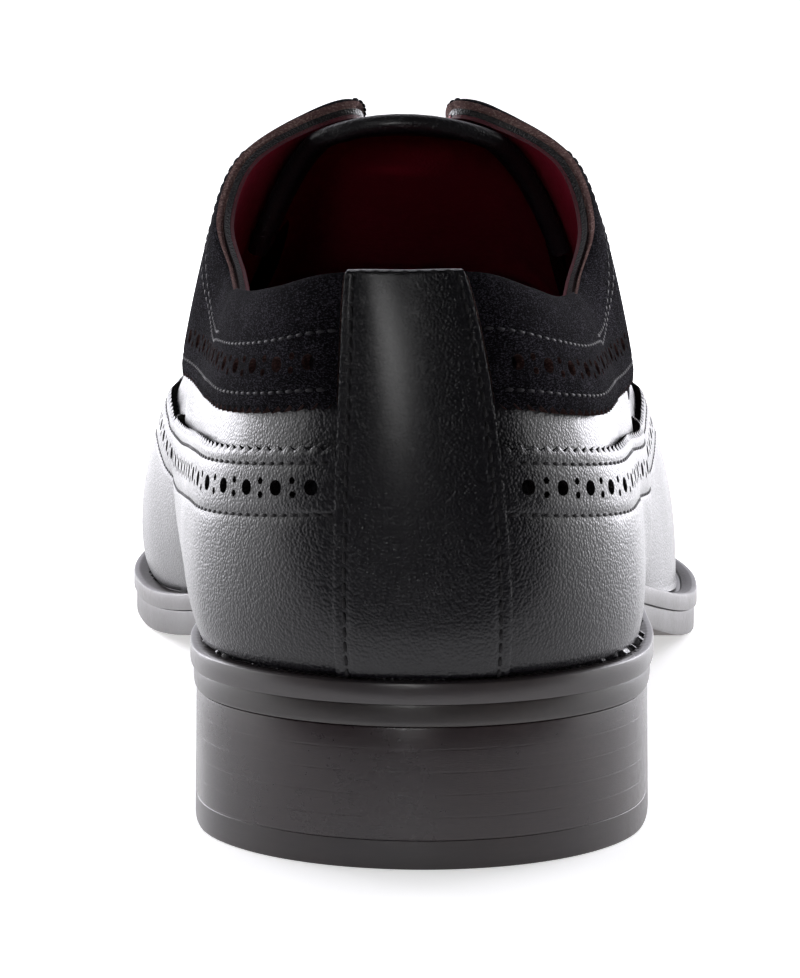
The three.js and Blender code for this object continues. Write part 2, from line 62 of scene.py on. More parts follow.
# %% The last's tables
# along, inner half breadth, outer half breadth of the welt (mm)
welt_rows = [
    (-34, 0, 0),
    (-31.282, 13.464, 13.325),
    (-23.611, 24.776, 24.429),
    (-11.954, 32.202, 31.646),
    (4.052, 34.596, 34.388),
    (20.964, 33.798, 34.561),
    (36.064, 31.993, 34.492),
    (49.05, 30.177, 34.398),
    (61.009, 28.791, 34.713),
    (72.908, 28.224, 35.784),
    (84.988, 29.421, 37.989),
    (98.88, 33.156, 41.148),
    (114.886, 39.204, 45.198),
    (132.1, 45.576, 49.194),
    (151.005, 51.84, 52.488),
    (171.058, 55.901, 53.352),
    (190.084, 56.592, 51.192),
    (207.902, 54.648, 46.116),
    (223.908, 50.16, 38.912),
    (238.011, 44.992, 31.16),
    (249.88, 37.924, 23.332),
    (259.242, 29.336, 14.744),
    (265.282, 19.76, 5.168),
    (268, 7.3, -7.3),
]

# along, height above the welt on the inner and the outer side, half opening (mm)
topline_rows = [
    (-28.564, 56, 56, 0),
    (-26.903, 55.776, 55.776, 9.512),
    (-18.9, 53.2, 52.78, 16.472),
    (-6.82, 51.24, 50.26, 20.822),
    (7.072, 50.4, 49.616, 23.722),
    (20.36, 49.008, 47.888, 24.824),
    (32.138, 51.312, 50.276, 26.1),
    (43.01, 58.722, 58.106, 28.536),
    (52.976, 68.286, 68.202, 25.404),
    (61.13, 74.872, 74.844, 16.356),
    (67.17, 77.773, 77.773, 7.65),
    (83.78, 73.539, 73.539, 7.5),
    (102.806, 68.365, 68.365, 7.5),
    (118.812, 64.288, 64.288, 6.9),
    (128.174, 62.088, 62.088, 0),
    (149.918, 54.566, 54.566, 0),
    (165.924, 49.133, 49.133, 0),
    (180.118, 44.656, 44.656, 0),
    (191.896, 41.432, 41.432, 0),
    (201.862, 38.99, 38.99, 0),
    (209.11, 37.31, 37.31, 0),
    (213.942, 36.05, 36.05, 0),
    (216.66, 35.28, 35.28, 0),
    (217.566, 35, 35, 0),
]

# swell on the inner and the outer side (mm), turn, shoulder, lower edge of the quarter, top
# edge of the wing (both as shares of the wall's height)
wall_rows = [
    (3.8, 3.8, 0.62, 1, 0.675, 0.58),
    (3.8, 3.8, 0.62, 1, 0.674, 0.582),
    (2.8, 2.6, 0.62, 1, 0.677, 0.587),
    (2.6, 1.8, 0.62, 1, 0.682, 0.588),
    (3.4, 1.6, 0.62, 1, 0.69, 0.584),
    (6, 2.4, 0.62, 0.97, 0.688, 0.57),
    (9.4, 4.6, 0.64, 0.96, 0.655, 0.52),
    (12.2, 4.2, 0.68, 0.98, 0.58, 0.455),
    (13.4, 3.2, 0.76, 1, 0.505, 0.396),
    (12.6, 2.5, 0.88, 1.02, 0.452, 0.355),
    (11, 2.4, 1, 0.97, 0.412, 0.326),
    (9.4, 1, 1, 0.88, 0.44, 0.352),
    (8, -0.5, 1, 0.78, 0.5, 0.41),
    (6.4, -1.2, 1, 0.68, 0.66, 0.49),
    (4.6, -1, 1, 0.62, 1, 0.58),
    (3.2, 0.6, 1, 0.62, 1, 0.7),
    (2.6, 2.6, 1, 0.62, 1, 1),
    (2.7, 3.3, 1, 0.63, 1, 1),
    (3.1, 3.7, 1, 0.65, 1, 1),
    (3.5, 3.7, 1, 0.66, 1, 1),
    (3.3, 3.2, 1, 0.7, 1, 1),
    (3.2, 3.2, 1, 0.74, 1, 1),
    (3, 3, 1, 0.76, 1, 1),
    (3, 3, 1, 0.76, 1, 1),
]
sections = len(welt_rows) - 1
around = 2 * sections
throat_end = 14
wing_peak = 16
quarter_front = 13.4
print(sections, "sections")


# %% Each column of the tables as a closed list round the shoe
def ring(outer, inner):
    return np.array(list(outer) + list(inner)[-2:0:-1], float)


def column(rows, place):
    return [row[place] for row in rows]


rings = {
    "welt x": ring(column(welt_rows, 2), [-x for x in column(welt_rows, 1)]),
    "welt y": ring(column(welt_rows, 0), column(welt_rows, 0)),
    "top y": ring(column(topline_rows, 0), column(topline_rows, 0)),
    "rise": ring(column(topline_rows, 2), column(topline_rows, 1)),
    "opening": ring(column(topline_rows, 3), [-x for x in column(topline_rows, 3)]),
    "swell": ring(column(wall_rows, 1), column(wall_rows, 0)),
    "turn": ring(column(wall_rows, 2), column(wall_rows, 2)),
    "shoulder": ring(column(wall_rows, 3), column(wall_rows, 3)),
    "quarter": ring(column(wall_rows, 4), column(wall_rows, 4)),
    "wing": ring(column(wall_rows, 5), column(wall_rows, 5)),
}


def at(name, u):
    """A smooth value between sections, by a Catmull-Rom spline."""
    values, u = rings[name], np.asarray(u, float)
    start = np.floor(u).astype(int)
    share = u - start
    a, b, c, d = [values[(start + k) % around] for k in (-1, 0, 1, 2)]
    bend = 2 * a - 5 * b + 4 * c - d + share * (3 * (b - c) + d - a)
    return b + 0.5 * share * (c - a + share * bend)


def section_of(u):
    wrapped = np.asarray(u, float) % around
    return np.minimum(wrapped, around - wrapped)


def smooth(value):
    value = np.clip(value, 0, 1)
    return value * value * (3 - 2 * value)


# %% Heights of the sole's layers along the shoe
LENGTH, BACK, HEEL, TREAD = 302, 34, 70, 0.645


def ground(y):
    arch = smooth((y + BACK - HEEL - 0.3) / (TREAD * LENGTH - HEEL - 0.3))
    toe = np.clip(((y + BACK) / LENGTH - 0.76) / 0.24, 0, 1)
    return 20.3 * (1 - arch) + 10.5 * toe**1.6


def fore(y):
    return smooth((y + BACK - HEEL) / (TREAD * LENGTH - HEEL))


def outsole_top(y):
    return ground(y) + 3 + 1.6 * fore(y)


def welt_top(y):
    return outsole_top(y) + 3.5


def outline(u, inset):
    """The welt's outline, moved inwards along its own normal."""
    run = at("welt x", u + 0.02) - at("welt x", u - 0.02)
    rise = at("welt y", u + 0.02) - at("welt y", u - 0.02)
    length = np.hypot(run, rise)
    return np.stack([at("welt x", u) - inset * rise / length, at("welt y", u) + inset * run / length], -1)


def reveal(u):
    return 4.3 + 1.3 * fore(at("welt y", u))


print("welt top at the heel and ball", welt_top(-BACK), welt_top(160))

# %% [markdown]
# ## Creases
# A vamp folds where the toes bend, and the leather keeps soft troughs there with low ridges
# between them. They are drawn as bands across the vamp that fade down its sides. Every
# layer uses the same bands, so the wing and the vamp under it fold together.

# %% Creases across the vamp
# place along the shoe, slant towards the sides, half width, depth (mm)
vamp_creases = [
    (131, 0.16, 3.4, 0.75),
    (138.5, 0.1, 2.8, -0.4),
    (145, 0.2, 3, 0.6),
    (153, 0.12, 3.6, -0.25),
    (160, 0.1, 3.2, 0.35),
]


def crease(spot, t):
    """How far the creases move the leather outwards, at points in mm."""
    move = np.zeros(spot.shape[:-1])
    side = np.abs(spot[..., 0] + 5)
    fade = smooth((t - 0.25) / 0.5)
    for y, slant, width, depth in vamp_creases:
        away = (spot[..., 1] - y + slant * side) / width
        move -= depth * fade * np.exp(-away * away)
    return move


# %% The last's surface
def skin_point(u, t):
    u, t = np.broadcast_arrays(np.asarray(u, float), np.asarray(t, float))
    foot = outline(u, reveal(u))
    foot_z = welt_top(foot[..., 1]) + 0.3
    top_y = at("top y", u)
    swing = smooth(((top_y + BACK) / LENGTH - 0.35) / 0.5)
    top_x = -(2.6 + 4.7 * swing) + np.where(section_of(u) >= throat_end, 0, at("opening", u))
    top_z = welt_top(top_y) + 0.3 + at("rise", u)
    full = at("turn", u) * math.pi / 2
    climb = (1 - np.cos(math.pi * t)) / 2
    shoulder = at("shoulder", u)
    last = np.maximum(0, np.cos(full)) ** shoulder
    inward = 1 - (np.maximum(0, np.cos(full * climb)) ** shoulder - last) / (1 - last)
    out = outline(u, 0) - outline(u, 1)
    swell = at("swell", u) * np.sin(math.pi * np.sqrt(climb))
    return np.stack([
        foot[..., 0] + (top_x - foot[..., 0]) * inward + out[..., 0] * swell,
        foot[..., 1] + (top_y - foot[..., 1]) * inward + out[..., 1] * swell,
        foot_z + (top_z - foot_z) * np.sin(full * climb) / np.sin(full),
    ], -1)


def unit(vectors):
    return vectors / np.maximum(1e-9, np.linalg.norm(vectors, axis=-1, keepdims=True))


def skin_normal(u, t):
    """Outwards: level at the welt, and square to the ridge where the vamp is closed."""
    u, t = np.broadcast_arrays(np.asarray(u, float), np.asarray(t, float))
    along = skin_point(u + 0.01, t) - skin_point(u - 0.01, t)
    up = skin_point(u, np.minimum(1, t + 0.01)) - skin_point(u, np.maximum(0, t - 0.01))
    normal = unit(np.cross(along, up))
    out = outline(u, 0) - outline(u, 1)
    level = unit(np.concatenate([out, 0 * out[..., :1]], -1))
    normal = np.where((t <= 0)[..., None], level, normal)
    place = section_of(u)
    ahead, behind = np.minimum(sections, place + 0.01), np.maximum(throat_end, place - 0.01)
    ridge = skin_point(ahead, 1) - skin_point(behind, 1)
    over = unit(np.stack([0 * ridge[..., 0], -ridge[..., 2], ridge[..., 1]], -1))
    return np.where(((t >= 1) & (place >= throat_end))[..., None], over, normal)


def skin(u, t, lift):
    """A place on a layer that lies lift mm over the last, with the creases in it."""
    u, t = np.broadcast_arrays(np.asarray(u, float), np.asarray(t, float))
    spot = skin_point(u, t)
    spot = spot + skin_normal(u, t) * (np.asarray(lift) + crease(spot, t))[..., None]
    spot[..., 2] = np.maximum(spot[..., 2], welt_top(spot[..., 1]) + 0.3)
    return spot


def step_at(u, share):
    """The t where the wall reaches a share of its height."""
    full = at("turn", u) * math.pi / 2
    climb = np.arcsin(np.clip(share, 0, 1) * np.sin(full)) / full
    return np.arccos(1 - 2 * np.clip(climb, 0, 1)) / math.pi


print("top of the back", skin(0, 1, 0))


# %% [markdown]
# ## Laying leather over the last
# A cut piece of leather is flat before it is lasted, so each piece starts as a flat grid
# primitive. Its points are then carried to their places on the last, and its UV map keeps the
# flat sizes in metres. Solidify gives the grid its thickness.
# Extruding and sculpting a cylinder could give the form too, but not edges that follow a seam.

# %% Helpers for every piece
def only(piece):
    bpy.ops.object.select_all(action="DESELECT")
    piece.select_set(True)
    bpy.context.view_layer.objects.active = piece


def lay(name, places, flat=None):
    """A grid primitive whose points are carried to places: columns x rows x 3, in mm."""
    columns, rows = places.shape[:2]
    bpy.ops.object.select_all(action="DESELECT")
    bpy.ops.mesh.primitive_grid_add(x_subdivisions=columns - 1, y_subdivisions=rows - 1, size=1)
    piece = bpy.context.object
    piece.name = piece.data.name = name
    mesh = piece.data
    spots = np.empty(len(mesh.vertices) * 3)
    mesh.vertices.foreach_get("co", spots)
    spots = spots.reshape(-1, 3)
    c = np.rint((spots[:, 0] + 0.5) * (columns - 1)).astype(int)
    r = np.rint((spots[:, 1] + 0.5) * (rows - 1)).astype(int)
    mesh.vertices.foreach_set("co", (places[c, r] * MM).ravel())
    if flat is not None:
        corners = np.empty(len(mesh.loops), int)
        mesh.loops.foreach_get("vertex_index", corners)
        mesh.uv_layers[0].data.foreach_set("uv", (flat[c, r][corners] * MM).ravel())
    mesh.update()
    return piece


def weld(piece, gap=0.02):
    """Points that lie on each other are merged, in edit mode."""
    only(piece)
    bpy.ops.object.mode_set(mode="EDIT")
    bpy.ops.mesh.select_all(action="SELECT")
    bpy.ops.mesh.remove_doubles(threshold=gap * MM)
    bpy.ops.mesh.dissolve_degenerate(threshold=0.002 * MM)
    bpy.ops.object.mode_set(mode="OBJECT")
    return piece


def smooth_spot(piece, centre, reach):
    """Evens the surface out round a point where many columns meet."""
    shape = bmesh.new()
    shape.from_mesh(piece.data)
    middle = Vector(np.ravel(centre) * MM)
    near = [v for v in shape.verts if (v.co - middle).length < reach * MM]
    every_axis = {"use_axis_x": True, "use_axis_y": True, "use_axis_z": True}
    for _ in range(12):
        bmesh.ops.smooth_vert(shape, verts=near, factor=0.5, **every_axis)
    shape.to_mesh(piece.data)
    shape.free()


def thicken(piece, thickness, back=0, rim=0):
    """Leather thickness under the laid surface; the back and the rim may take other finishes."""
    only(piece)
    for _ in range(max(back, rim) + 1):
        piece.data.materials.append(None)
    layer = piece.modifiers.new("thickness", "SOLIDIFY")
    layer.thickness, layer.offset = thickness * MM, -1
    layer.use_even_offset = False
    layer.material_offset, layer.material_offset_rim = back, rim
    bpy.ops.object.modifier_apply(modifier=layer.name)
    return piece


def dress(piece, slot, nodes, *finishes, angle=50):
    """Finishes, smooth shading, and what the piece is to the frame."""
    only(piece)
    for number, finish in enumerate(finishes):
        if number < len(piece.data.materials):
            piece.data.materials[number] = finish
        else:
            piece.data.materials.append(finish)
    bpy.ops.object.shade_smooth_by_angle(angle=math.radians(angle))
    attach(piece, "root")
    if nodes:
        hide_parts(*nodes)
    print(piece.name, len(piece.data.polygons), "faces")
    return piece


def lengths(points):
    """Distance along a line of points, starting at 0."""
    return np.concatenate([[0], np.cumsum(np.linalg.norm(np.diff(points, axis=0), axis=1))])


def spread(values, along, count):
    """Values spread evenly over a line, by its length."""
    return np.interp(np.linspace(0, along[-1], count), along, values)


# %% [markdown]
# ## Rows at a distance from an edge
# Seams, punched holes and pinked edges keep a fixed distance from the edge of their piece. These
# helpers turn a distance up the wall, in mm, into a place on the last, and tell how square the
# wall is to an edge. The wing's own rows are found further on, because its edges meet at a peak.

# %% Distances up the wall
wall_steps = np.linspace(0, 1, 91)


def wall_lengths(u):
    """For each u, the length up the wall at every wall step, in mm."""
    points = skin_point(np.asarray(u)[:, None], wall_steps[None, :])
    parts = np.linalg.norm(np.diff(points, axis=1), axis=2)
    return np.concatenate([np.zeros((len(parts), 1)), np.cumsum(parts, axis=1)], axis=1)


def step_from_length(u, length, table=None):
    table = wall_lengths(u) if table is None else table
    return np.array([np.interp(x, row, wall_steps) for x, row in zip(length, table)])


def wing_edge(u):
    return np.where(section_of(u) >= wing_peak, 1, step_at(u, at("wing", u)))


def quarter_edge(u):
    return step_at(u, at("quarter", u))


def squareness(edge, u):
    """The sine of the angle between the wall's own direction and the edge."""
    u = np.asarray(u, float)
    t = edge(u)
    side = np.where(u % around < sections, 1, -1)
    low, high = np.where(side > 0, u - 0.02, u), np.where(side > 0, u, u + 0.02)
    tangent = unit(skin_point(high, edge(high)) - skin_point(low, edge(low)))
    up = unit(skin_point(u, t) - skin_point(u, t - 0.01))
    return np.clip(np.linalg.norm(np.cross(tangent, up), axis=-1), 0.3, 1)


# %% [markdown]
# ## Seams
# A seam is a row of short stitches, each sunk a little in the leather. One stitch is modelled
# from a small sphere, flattened and drawn out, and copied along the seam's line. A painted dashed
# line would stay flat in side light, where real thread catches it.

# %% One stitch, copied along a line
stitch_lines = {}


def stitch_form():
    bpy.ops.object.select_all(action="DESELECT")
    bpy.ops.mesh.primitive_uv_sphere_add(segments=6, ring_count=4, radius=0.5)
    start = bpy.context.object
    bpy.ops.object.mode_set(mode="EDIT")
    bpy.ops.mesh.select_all(action="SELECT")
    bpy.ops.transform.rotate(value=math.pi / 2, orient_axis="Y", center_override=(0, 0, 0))
    bpy.ops.object.mode_set(mode="OBJECT")
    points = np.array([v.co for v in start.data.vertices])
    points[:, 0] = np.sign(points[:, 0]) * np.abs(points[:, 0] * 2) ** 0.7 / 2
    faces = [list(p.vertices) for p in start.data.polygons]
    bpy.data.objects.remove(start)
    return points, faces


stitch_points, stitch_faces = stitch_form()


def sew(group, u, t, lift, pitch=1.9, width=0.72, fill=0.78, sink=0.06):
    """Stitches along a line of places on the last, kept until their piece is made."""
    u, t = np.broadcast_arrays(np.asarray(u, float), np.asarray(t, float))
    line = skin(u, t, lift)
    along = lengths(line)
    count = max(1, int(round(along[-1] / pitch)))
    middle = (np.arange(count) + 0.5) * along[-1] / count
    uu, tt = np.interp(middle, along, u), np.interp(middle, along, t)
    spot, normal = skin(uu, tt, lift), skin_normal(uu, tt)
    after, before = [
        np.stack([np.interp(middle + reach, along, axis) for axis in line.T], -1) for reach in (0.4, -0.4)
    ]
    ahead = after - before
    ahead = unit(ahead - normal * np.sum(ahead * normal, -1, keepdims=True))
    across = np.cross(normal, ahead)
    size = (along[-1] / count * fill, width, width * 0.7)
    copies = (spot - normal * sink)[:, None]
    for k, direction in enumerate((ahead, across, normal)):
        copies = copies + direction[:, None] * (stitch_points[:, k : k + 1] * size[k])
    stitch_lines.setdefault(group, []).append(copies.reshape(-1, 3))


def seam_piece(name, nodes_slot, finish):
    points = np.concatenate(stitch_lines[name]) * MM
    each = len(stitch_points)
    faces = [[v + k * each for v in face] for k in range(len(points) // each) for face in stitch_faces]
    mesh = bpy.data.meshes.new(name)
    mesh.from_pydata(points.tolist(), [], faces)
    piece = bpy.data.objects.new(name, mesh)
    bpy.context.collection.objects.link(piece)
    return dress(piece, nodes_slot, (), finish, angle=80)


print("a stitch has", len(stitch_faces), "faces")


# %% [markdown]
# ## Punched holes
# Broguing is punched: a large round hole between pairs of small ones, over and over. The faces
# inside each circle are taken out of the laid grid and the rim is drawn to a true circle, before
# the leather gets its thickness, so every hole has a wall. A Boolean for each hole gives the same
# form but takes minutes and can leave broken faces.

# %% Round holes in a laid piece
def punch(piece, centres, normals, radii):
    shape = bmesh.new()
    shape.from_mesh(piece.data)
    shape.faces.ensure_lookup_table()
    tree = KDTree(len(shape.faces))
    for face in shape.faces:
        tree.insert(face.calc_center_median(), face.index)
    tree.balance()
    gone = set()
    for centre, normal, radius in zip(centres * MM, normals, radii):
        centre, normal = Vector(centre), Vector(normal)
        inside = [shape.faces[i] for _, i, _ in tree.find_range(centre, radius * MM)]
        gone.update(inside)
        for corner in {v for face in inside for v in face.verts}:
            if all(f in gone for f in corner.link_faces):
                continue
            away = corner.co - centre
            height = away.dot(normal)
            flat = away - normal * height
            corner.co = centre + flat.normalized() * radius * MM + normal * height
    bmesh.ops.delete(shape, geom=list(gone), context="FACES")
    shape.to_mesh(piece.data)
    shape.free()
    print(piece.name, len(radii), "holes")


def brogue_row(row_at, lift, pitch, big, small, spacing):
    """Large holes at every pitch along a row, and pairs of small ones half way between."""
    centres, normals, radii = [], [], []
    along = lengths(skin(*row_at(0), lift))
    for distance, radius, shift in ((0, big, 0), (spacing, small, 0.5), (-spacing, small, 0.5)):
        where = (np.arange(along[-1] // pitch) + 0.5 + shift) * pitch
        where = where[where < along[-1] - 1.8]
        u, t = [np.interp(where, along, x) for x in row_at(distance)]
        centres.append(skin(u, t, lift))
        normals.append(skin_normal(u, t))
        radii += [radius] * len(u)
    return np.concatenate(centres), np.concatenate(normals), np.array(radii)

# %% [markdown]
# ## Finishes
# Four effects come back in several finishes, so each is a node group with named inputs: the
# pebbled grain of calf, the nap of suede, the lines of stacked sole leather, and soft wear. They
# read object coordinates, in metres, so they hold to the shoe in every view.

# %% Node helpers
def fill(tree, node, inputs):
    """Sets a node's inputs to values, or joins them to other nodes' outputs."""
    for key, value in inputs.items():
        if isinstance(value, bpy.types.NodeSocket):
            tree.links.new(value, node.inputs[key])
        else:
            node.inputs[key].default_value = value
    return node


def wire(tree, kind, inputs=(), **settings):
    """A new node with its settings and inputs."""
    node = tree.nodes.new(kind)
    for name, value in settings.items():
        setattr(node, name, value)
    return fill(tree, node, dict(inputs))


def object_place(tree):
    """Where a point is on the shoe, in metres."""
    return wire(tree, "ShaderNodeTexCoord").outputs["Object"]


def noise(tree, where, scale, detail, **more):
    return wire(tree, "ShaderNodeTexNoise", {"Vector": where, "Scale": scale, "Detail": detail, **more})


def math_node(tree, operation, a, b=0.0):
    return wire(tree, "ShaderNodeMath", {0: a, 1: b}, operation=operation).outputs[0]


def group(name, inputs, outputs, build):
    """A shader node group: inputs are numbers by name, outputs are names of numbers."""
    tree = bpy.data.node_groups.new(name, "ShaderNodeTree")
    number = "NodeSocketFloat"
    for label, value in inputs.items():
        tree.interface.new_socket(label, in_out="INPUT", socket_type=number).default_value = value
    for label in outputs:
        tree.interface.new_socket(label, in_out="OUTPUT", socket_type=number)
    start, end = tree.nodes.new("NodeGroupInput"), tree.nodes.new("NodeGroupOutput")
    for label, socket in build(tree, start.outputs).items():
        tree.links.new(socket, end.inputs[label])
    return tree


def place_group(tree, source, inputs):
    node = tree.nodes.new("ShaderNodeGroup")
    node.node_tree = source
    return fill(tree, node, inputs)


# %% Grain of calf: small pebbles parted by finer lines
def build_grain(tree, given):
    where = object_place(tree)
    drift = noise(tree, where, 260.0, 2.0)
    shift = {0: 0.0006, 1: where, 2: drift.outputs["Color"]}
    bent = wire(tree, "ShaderNodeMixRGB", shift, blend_type="ADD")
    spread_out = {"Vector": bent.outputs[0], "Scale": given["Cells"]}
    cells = wire(tree, "ShaderNodeTexVoronoi", spread_out, feature="F1")
    rounding = {0: cells.outputs["Distance"], 1: 0.15, 2: 0.8, 3: 1.0, 4: 0.0}
    round_cells = wire(tree, "ShaderNodeMapRange", rounding)
    pores = noise(tree, where, given["Pores"], 3.0)
    pits = math_node(tree, "MULTIPLY", pores.outputs["Fac"], 0.4)
    sum_up = math_node(tree, "ADD", round_cells.outputs[0], pits)
    return {"Height": sum_up, "Tone": pores.outputs["Fac"]}


grain = group("pebbled grain", {"Cells": 1500.0, "Pores": 2600.0}, ["Height", "Tone"], build_grain)


# %% Soft wear: broad, uneven patches of handling
def build_wear(tree, given):
    where = object_place(tree)
    broad = noise(tree, where, given["Patches"], 4.0, Roughness=0.6)
    patch = wire(tree, "ShaderNodeMapRange", {0: broad.outputs["Fac"], 1: 0.35, 2: 0.75})
    fine = noise(tree, where, 900.0, 3.0)
    mask = math_node(tree, "MULTIPLY", patch.outputs[0], fine.outputs["Fac"])
    return {"Mask": mask}


wear = group("soft wear", {"Patches": 35.0}, ["Mask"], build_wear)


# %% Nap of suede: short fibres brushed one way, with lighter and darker strokes
def build_nap(tree, given):
    where = object_place(tree)
    turned = {"Vector": where, "Rotation": (0.3, 0.2, 0.4), "Scale": (1.0, 0.55, 1.6)}
    lean = wire(tree, "ShaderNodeMapping", turned)
    fibres = noise(tree, lean.outputs[0], given["Fibres"], 5.0, Roughness=0.7)
    strokes = noise(tree, where, 160.0, 4.0, Distortion=0.6)
    fine = math_node(tree, "MULTIPLY", fibres.outputs["Fac"], 0.86)
    broad = math_node(tree, "MULTIPLY", strokes.outputs["Fac"], 0.14)
    both = math_node(tree, "ADD", fine, broad)
    tone = wire(tree, "ShaderNodeMapRange", {0: both, 1: 0.49, 2: 0.64})
    return {"Height": fibres.outputs["Fac"], "Tone": tone.outputs[0]}


nap = group("suede nap", {"Fibres": 1700.0}, ["Height", "Tone"], build_nap)


# %% Stacked sole leather: faint level lines, fibres along them, and burnished streaks
def build_stack(tree, given):
    where = object_place(tree)
    apart = wire(tree, "ShaderNodeSeparateXYZ", {0: where})
    above = math_node(tree, "SUBTRACT", apart.outputs[2], given["Start"])
    layer = math_node(tree, "FRACT", math_node(tree, "DIVIDE", above, given["Layer"]))
    near = math_node(tree, "ABSOLUTE", math_node(tree, "SUBTRACT", layer, 0.5))
    line = wire(tree, "ShaderNodeMapRange", {0: near, 1: 0.455, 2: 0.5, 3: 1.0, 4: 0.0})
    squeezed = wire(tree, "ShaderNodeMapping", {"Vector": where, "Scale": (1.0, 1.0, 9.0)})
    streaks = noise(tree, squeezed.outputs[0], 160.0, 6.0, Roughness=0.65)
    fine = noise(tree, squeezed.outputs[0], 1100.0, 3.0)
    strong = math_node(tree, "MULTIPLY", streaks.outputs["Fac"], 1.6)
    broken = math_node(tree, "MAXIMUM", line.outputs[0], strong)
    high = math_node(tree, "ADD", broken, math_node(tree, "MULTIPLY", fine.outputs["Fac"], 0.35))
    return {"Height": high, "Tone": streaks.outputs["Fac"]}


stack = group("stacked leather", {"Layer": 0.0032, "Start": 0.0043}, ["Height", "Tone"], build_stack)
print("groups", [g.name for g in bpy.data.node_groups])


# %% Helpers that put a finish together
def finish(name, colour, **sockets):
    """A material with its Principled shader, and that shader's plain values."""
    material = bpy.data.materials.new(name)
    material.use_nodes = True
    tree = material.node_tree
    shader = tree.nodes["Principled BSDF"]
    shader.inputs["Base Color"].default_value = (*colour, 1)
    material.diffuse_color = (*colour, 1)
    for key, value in sockets.items():
        shader.inputs[key.replace("_", " ").title().replace("Ior", "IOR")].default_value = value
    return material, tree, shader


def tint(tree, factor, dark, light):
    return wire(tree, "ShaderNodeMixRGB", {0: factor, 1: (*dark, 1), 2: (*light, 1)}).outputs[0]


def relief(tree, shader, height, distance, strength=1.0, under=None):
    inputs = {"Height": height, "Distance": distance, "Strength": strength}
    if under is not None:
        inputs["Normal"] = under
    bump = wire(tree, "ShaderNodeBump", inputs)
    tree.links.new(bump.outputs[0], shader.inputs["Normal"])
    return bump.outputs[0]


def roughen(tree, shader, factor, low, high):
    span = wire(tree, "ShaderNodeMapRange", {0: factor, 1: 0.0, 2: 1.0, 3: low, 4: high})
    tree.links.new(span.outputs[0], shader.inputs["Roughness"])


# %% [markdown]
# ## Calf, suede and lining
# Black calf is a very dark colour under a thin polish: the coat gives the crisp reflection and
# the grain under it breaks it up. Suede has no polish at all; its colour changes with the way the
# fibres lie, and a sheen lights its turned edges. The lining is dyed calf with a dull face.

# %% Black calf
def calf_finish(name, dark, light, cells, depth, coat):
    polish = {"coat_weight": coat, "coat_roughness": 0.22, "coat_ior": 1.5}
    material, tree, shader = finish(name, dark, roughness=0.42, specular_ior_level=0.25, **polish)
    fine = place_group(tree, grain, {"Cells": cells, "Pores": cells * 1.8})
    patches = place_group(tree, wear, {"Patches": 28.0})
    tree.links.new(tint(tree, fine.outputs["Tone"], dark, light), shader.inputs["Base Color"])
    roughen(tree, shader, patches.outputs["Mask"], 0.28, 0.44)
    relief(tree, shader, fine.outputs["Height"], depth)
    return material


PEBBLE = 0.00008
calf = calf_finish("black calf", (0.0045, 0.0042, 0.0055), (0.011, 0.0102, 0.013), 2200.0, PEBBLE, 0.3)
calf_edge = calf_finish("dyed calf edge", (0.005, 0.0042, 0.0048), (0.014, 0.011, 0.012), 2600, PEBBLE, 0.05)


# %% Charcoal suede, and the raw edge of cut leather
def suede_finish():
    dull = {"roughness": 1.0, "sheen_weight": 0.012, "sheen_roughness": 0.45, "specular_ior_level": 0.02}
    material, tree, shader = finish("charcoal suede", (0.03, 0.027, 0.032), **dull)
    fibres = place_group(tree, nap, {"Fibres": 3000.0})
    strokes = tint(tree, fibres.outputs["Tone"], (0.0012, 0.001, 0.0018), (0.045, 0.041, 0.053))
    tree.links.new(strokes, shader.inputs["Base Color"])
    relief(tree, shader, fibres.outputs["Height"], 0.0005, 0.9)
    return material


def raw_edge_finish():
    material, tree, shader = finish("raw cut edge", (0.2, 0.12, 0.11), roughness=0.9, specular_ior_level=0.2)
    fibres = place_group(tree, nap, {"Fibres": 2300.0})
    high = wire(tree, "ShaderNodeSeparateXYZ", {0: object_place(tree)}).outputs[2]
    worn = wire(tree, "ShaderNodeMapRange", {0: high, 1: 0.072, 2: 0.08})
    pale = tint(tree, fibres.outputs["Tone"], (0.2, 0.115, 0.11), (0.52, 0.36, 0.335))
    dyed = tint(tree, fibres.outputs["Tone"], (0.05, 0.024, 0.022), (0.15, 0.08, 0.072))
    edge = wire(tree, "ShaderNodeMixRGB", {0: worn.outputs[0], 1: dyed, 2: pale})
    tree.links.new(edge.outputs[0], shader.inputs["Base Color"])
    relief(tree, shader, fibres.outputs["Height"], 0.0004, 0.9)
    return material


def lining_finish(name, dark, light):
    material, tree, shader = finish(name, light, roughness=0.55, specular_ior_level=0.35)
    fine = place_group(tree, grain, {"Cells": 1900.0, "Pores": 2800.0})
    patches = place_group(tree, wear, {"Patches": 22.0})
    tree.links.new(tint(tree, patches.outputs["Mask"], light, dark), shader.inputs["Base Color"])
    relief(tree, shader, fine.outputs["Height"], 0.00003)
    roughen(tree, shader, patches.outputs["Mask"], 0.5, 0.75)
    return material


suede = suede_finish()
raw_edge = raw_edge_finish()
lining_red = lining_finish("deep red lining", (0.13, 0.003, 0.013), (0.3, 0.009, 0.034))
sock = lining_finish("sock leather", (0.045, 0.003, 0.008), (0.08, 0.005, 0.014))
print("leather finishes made")


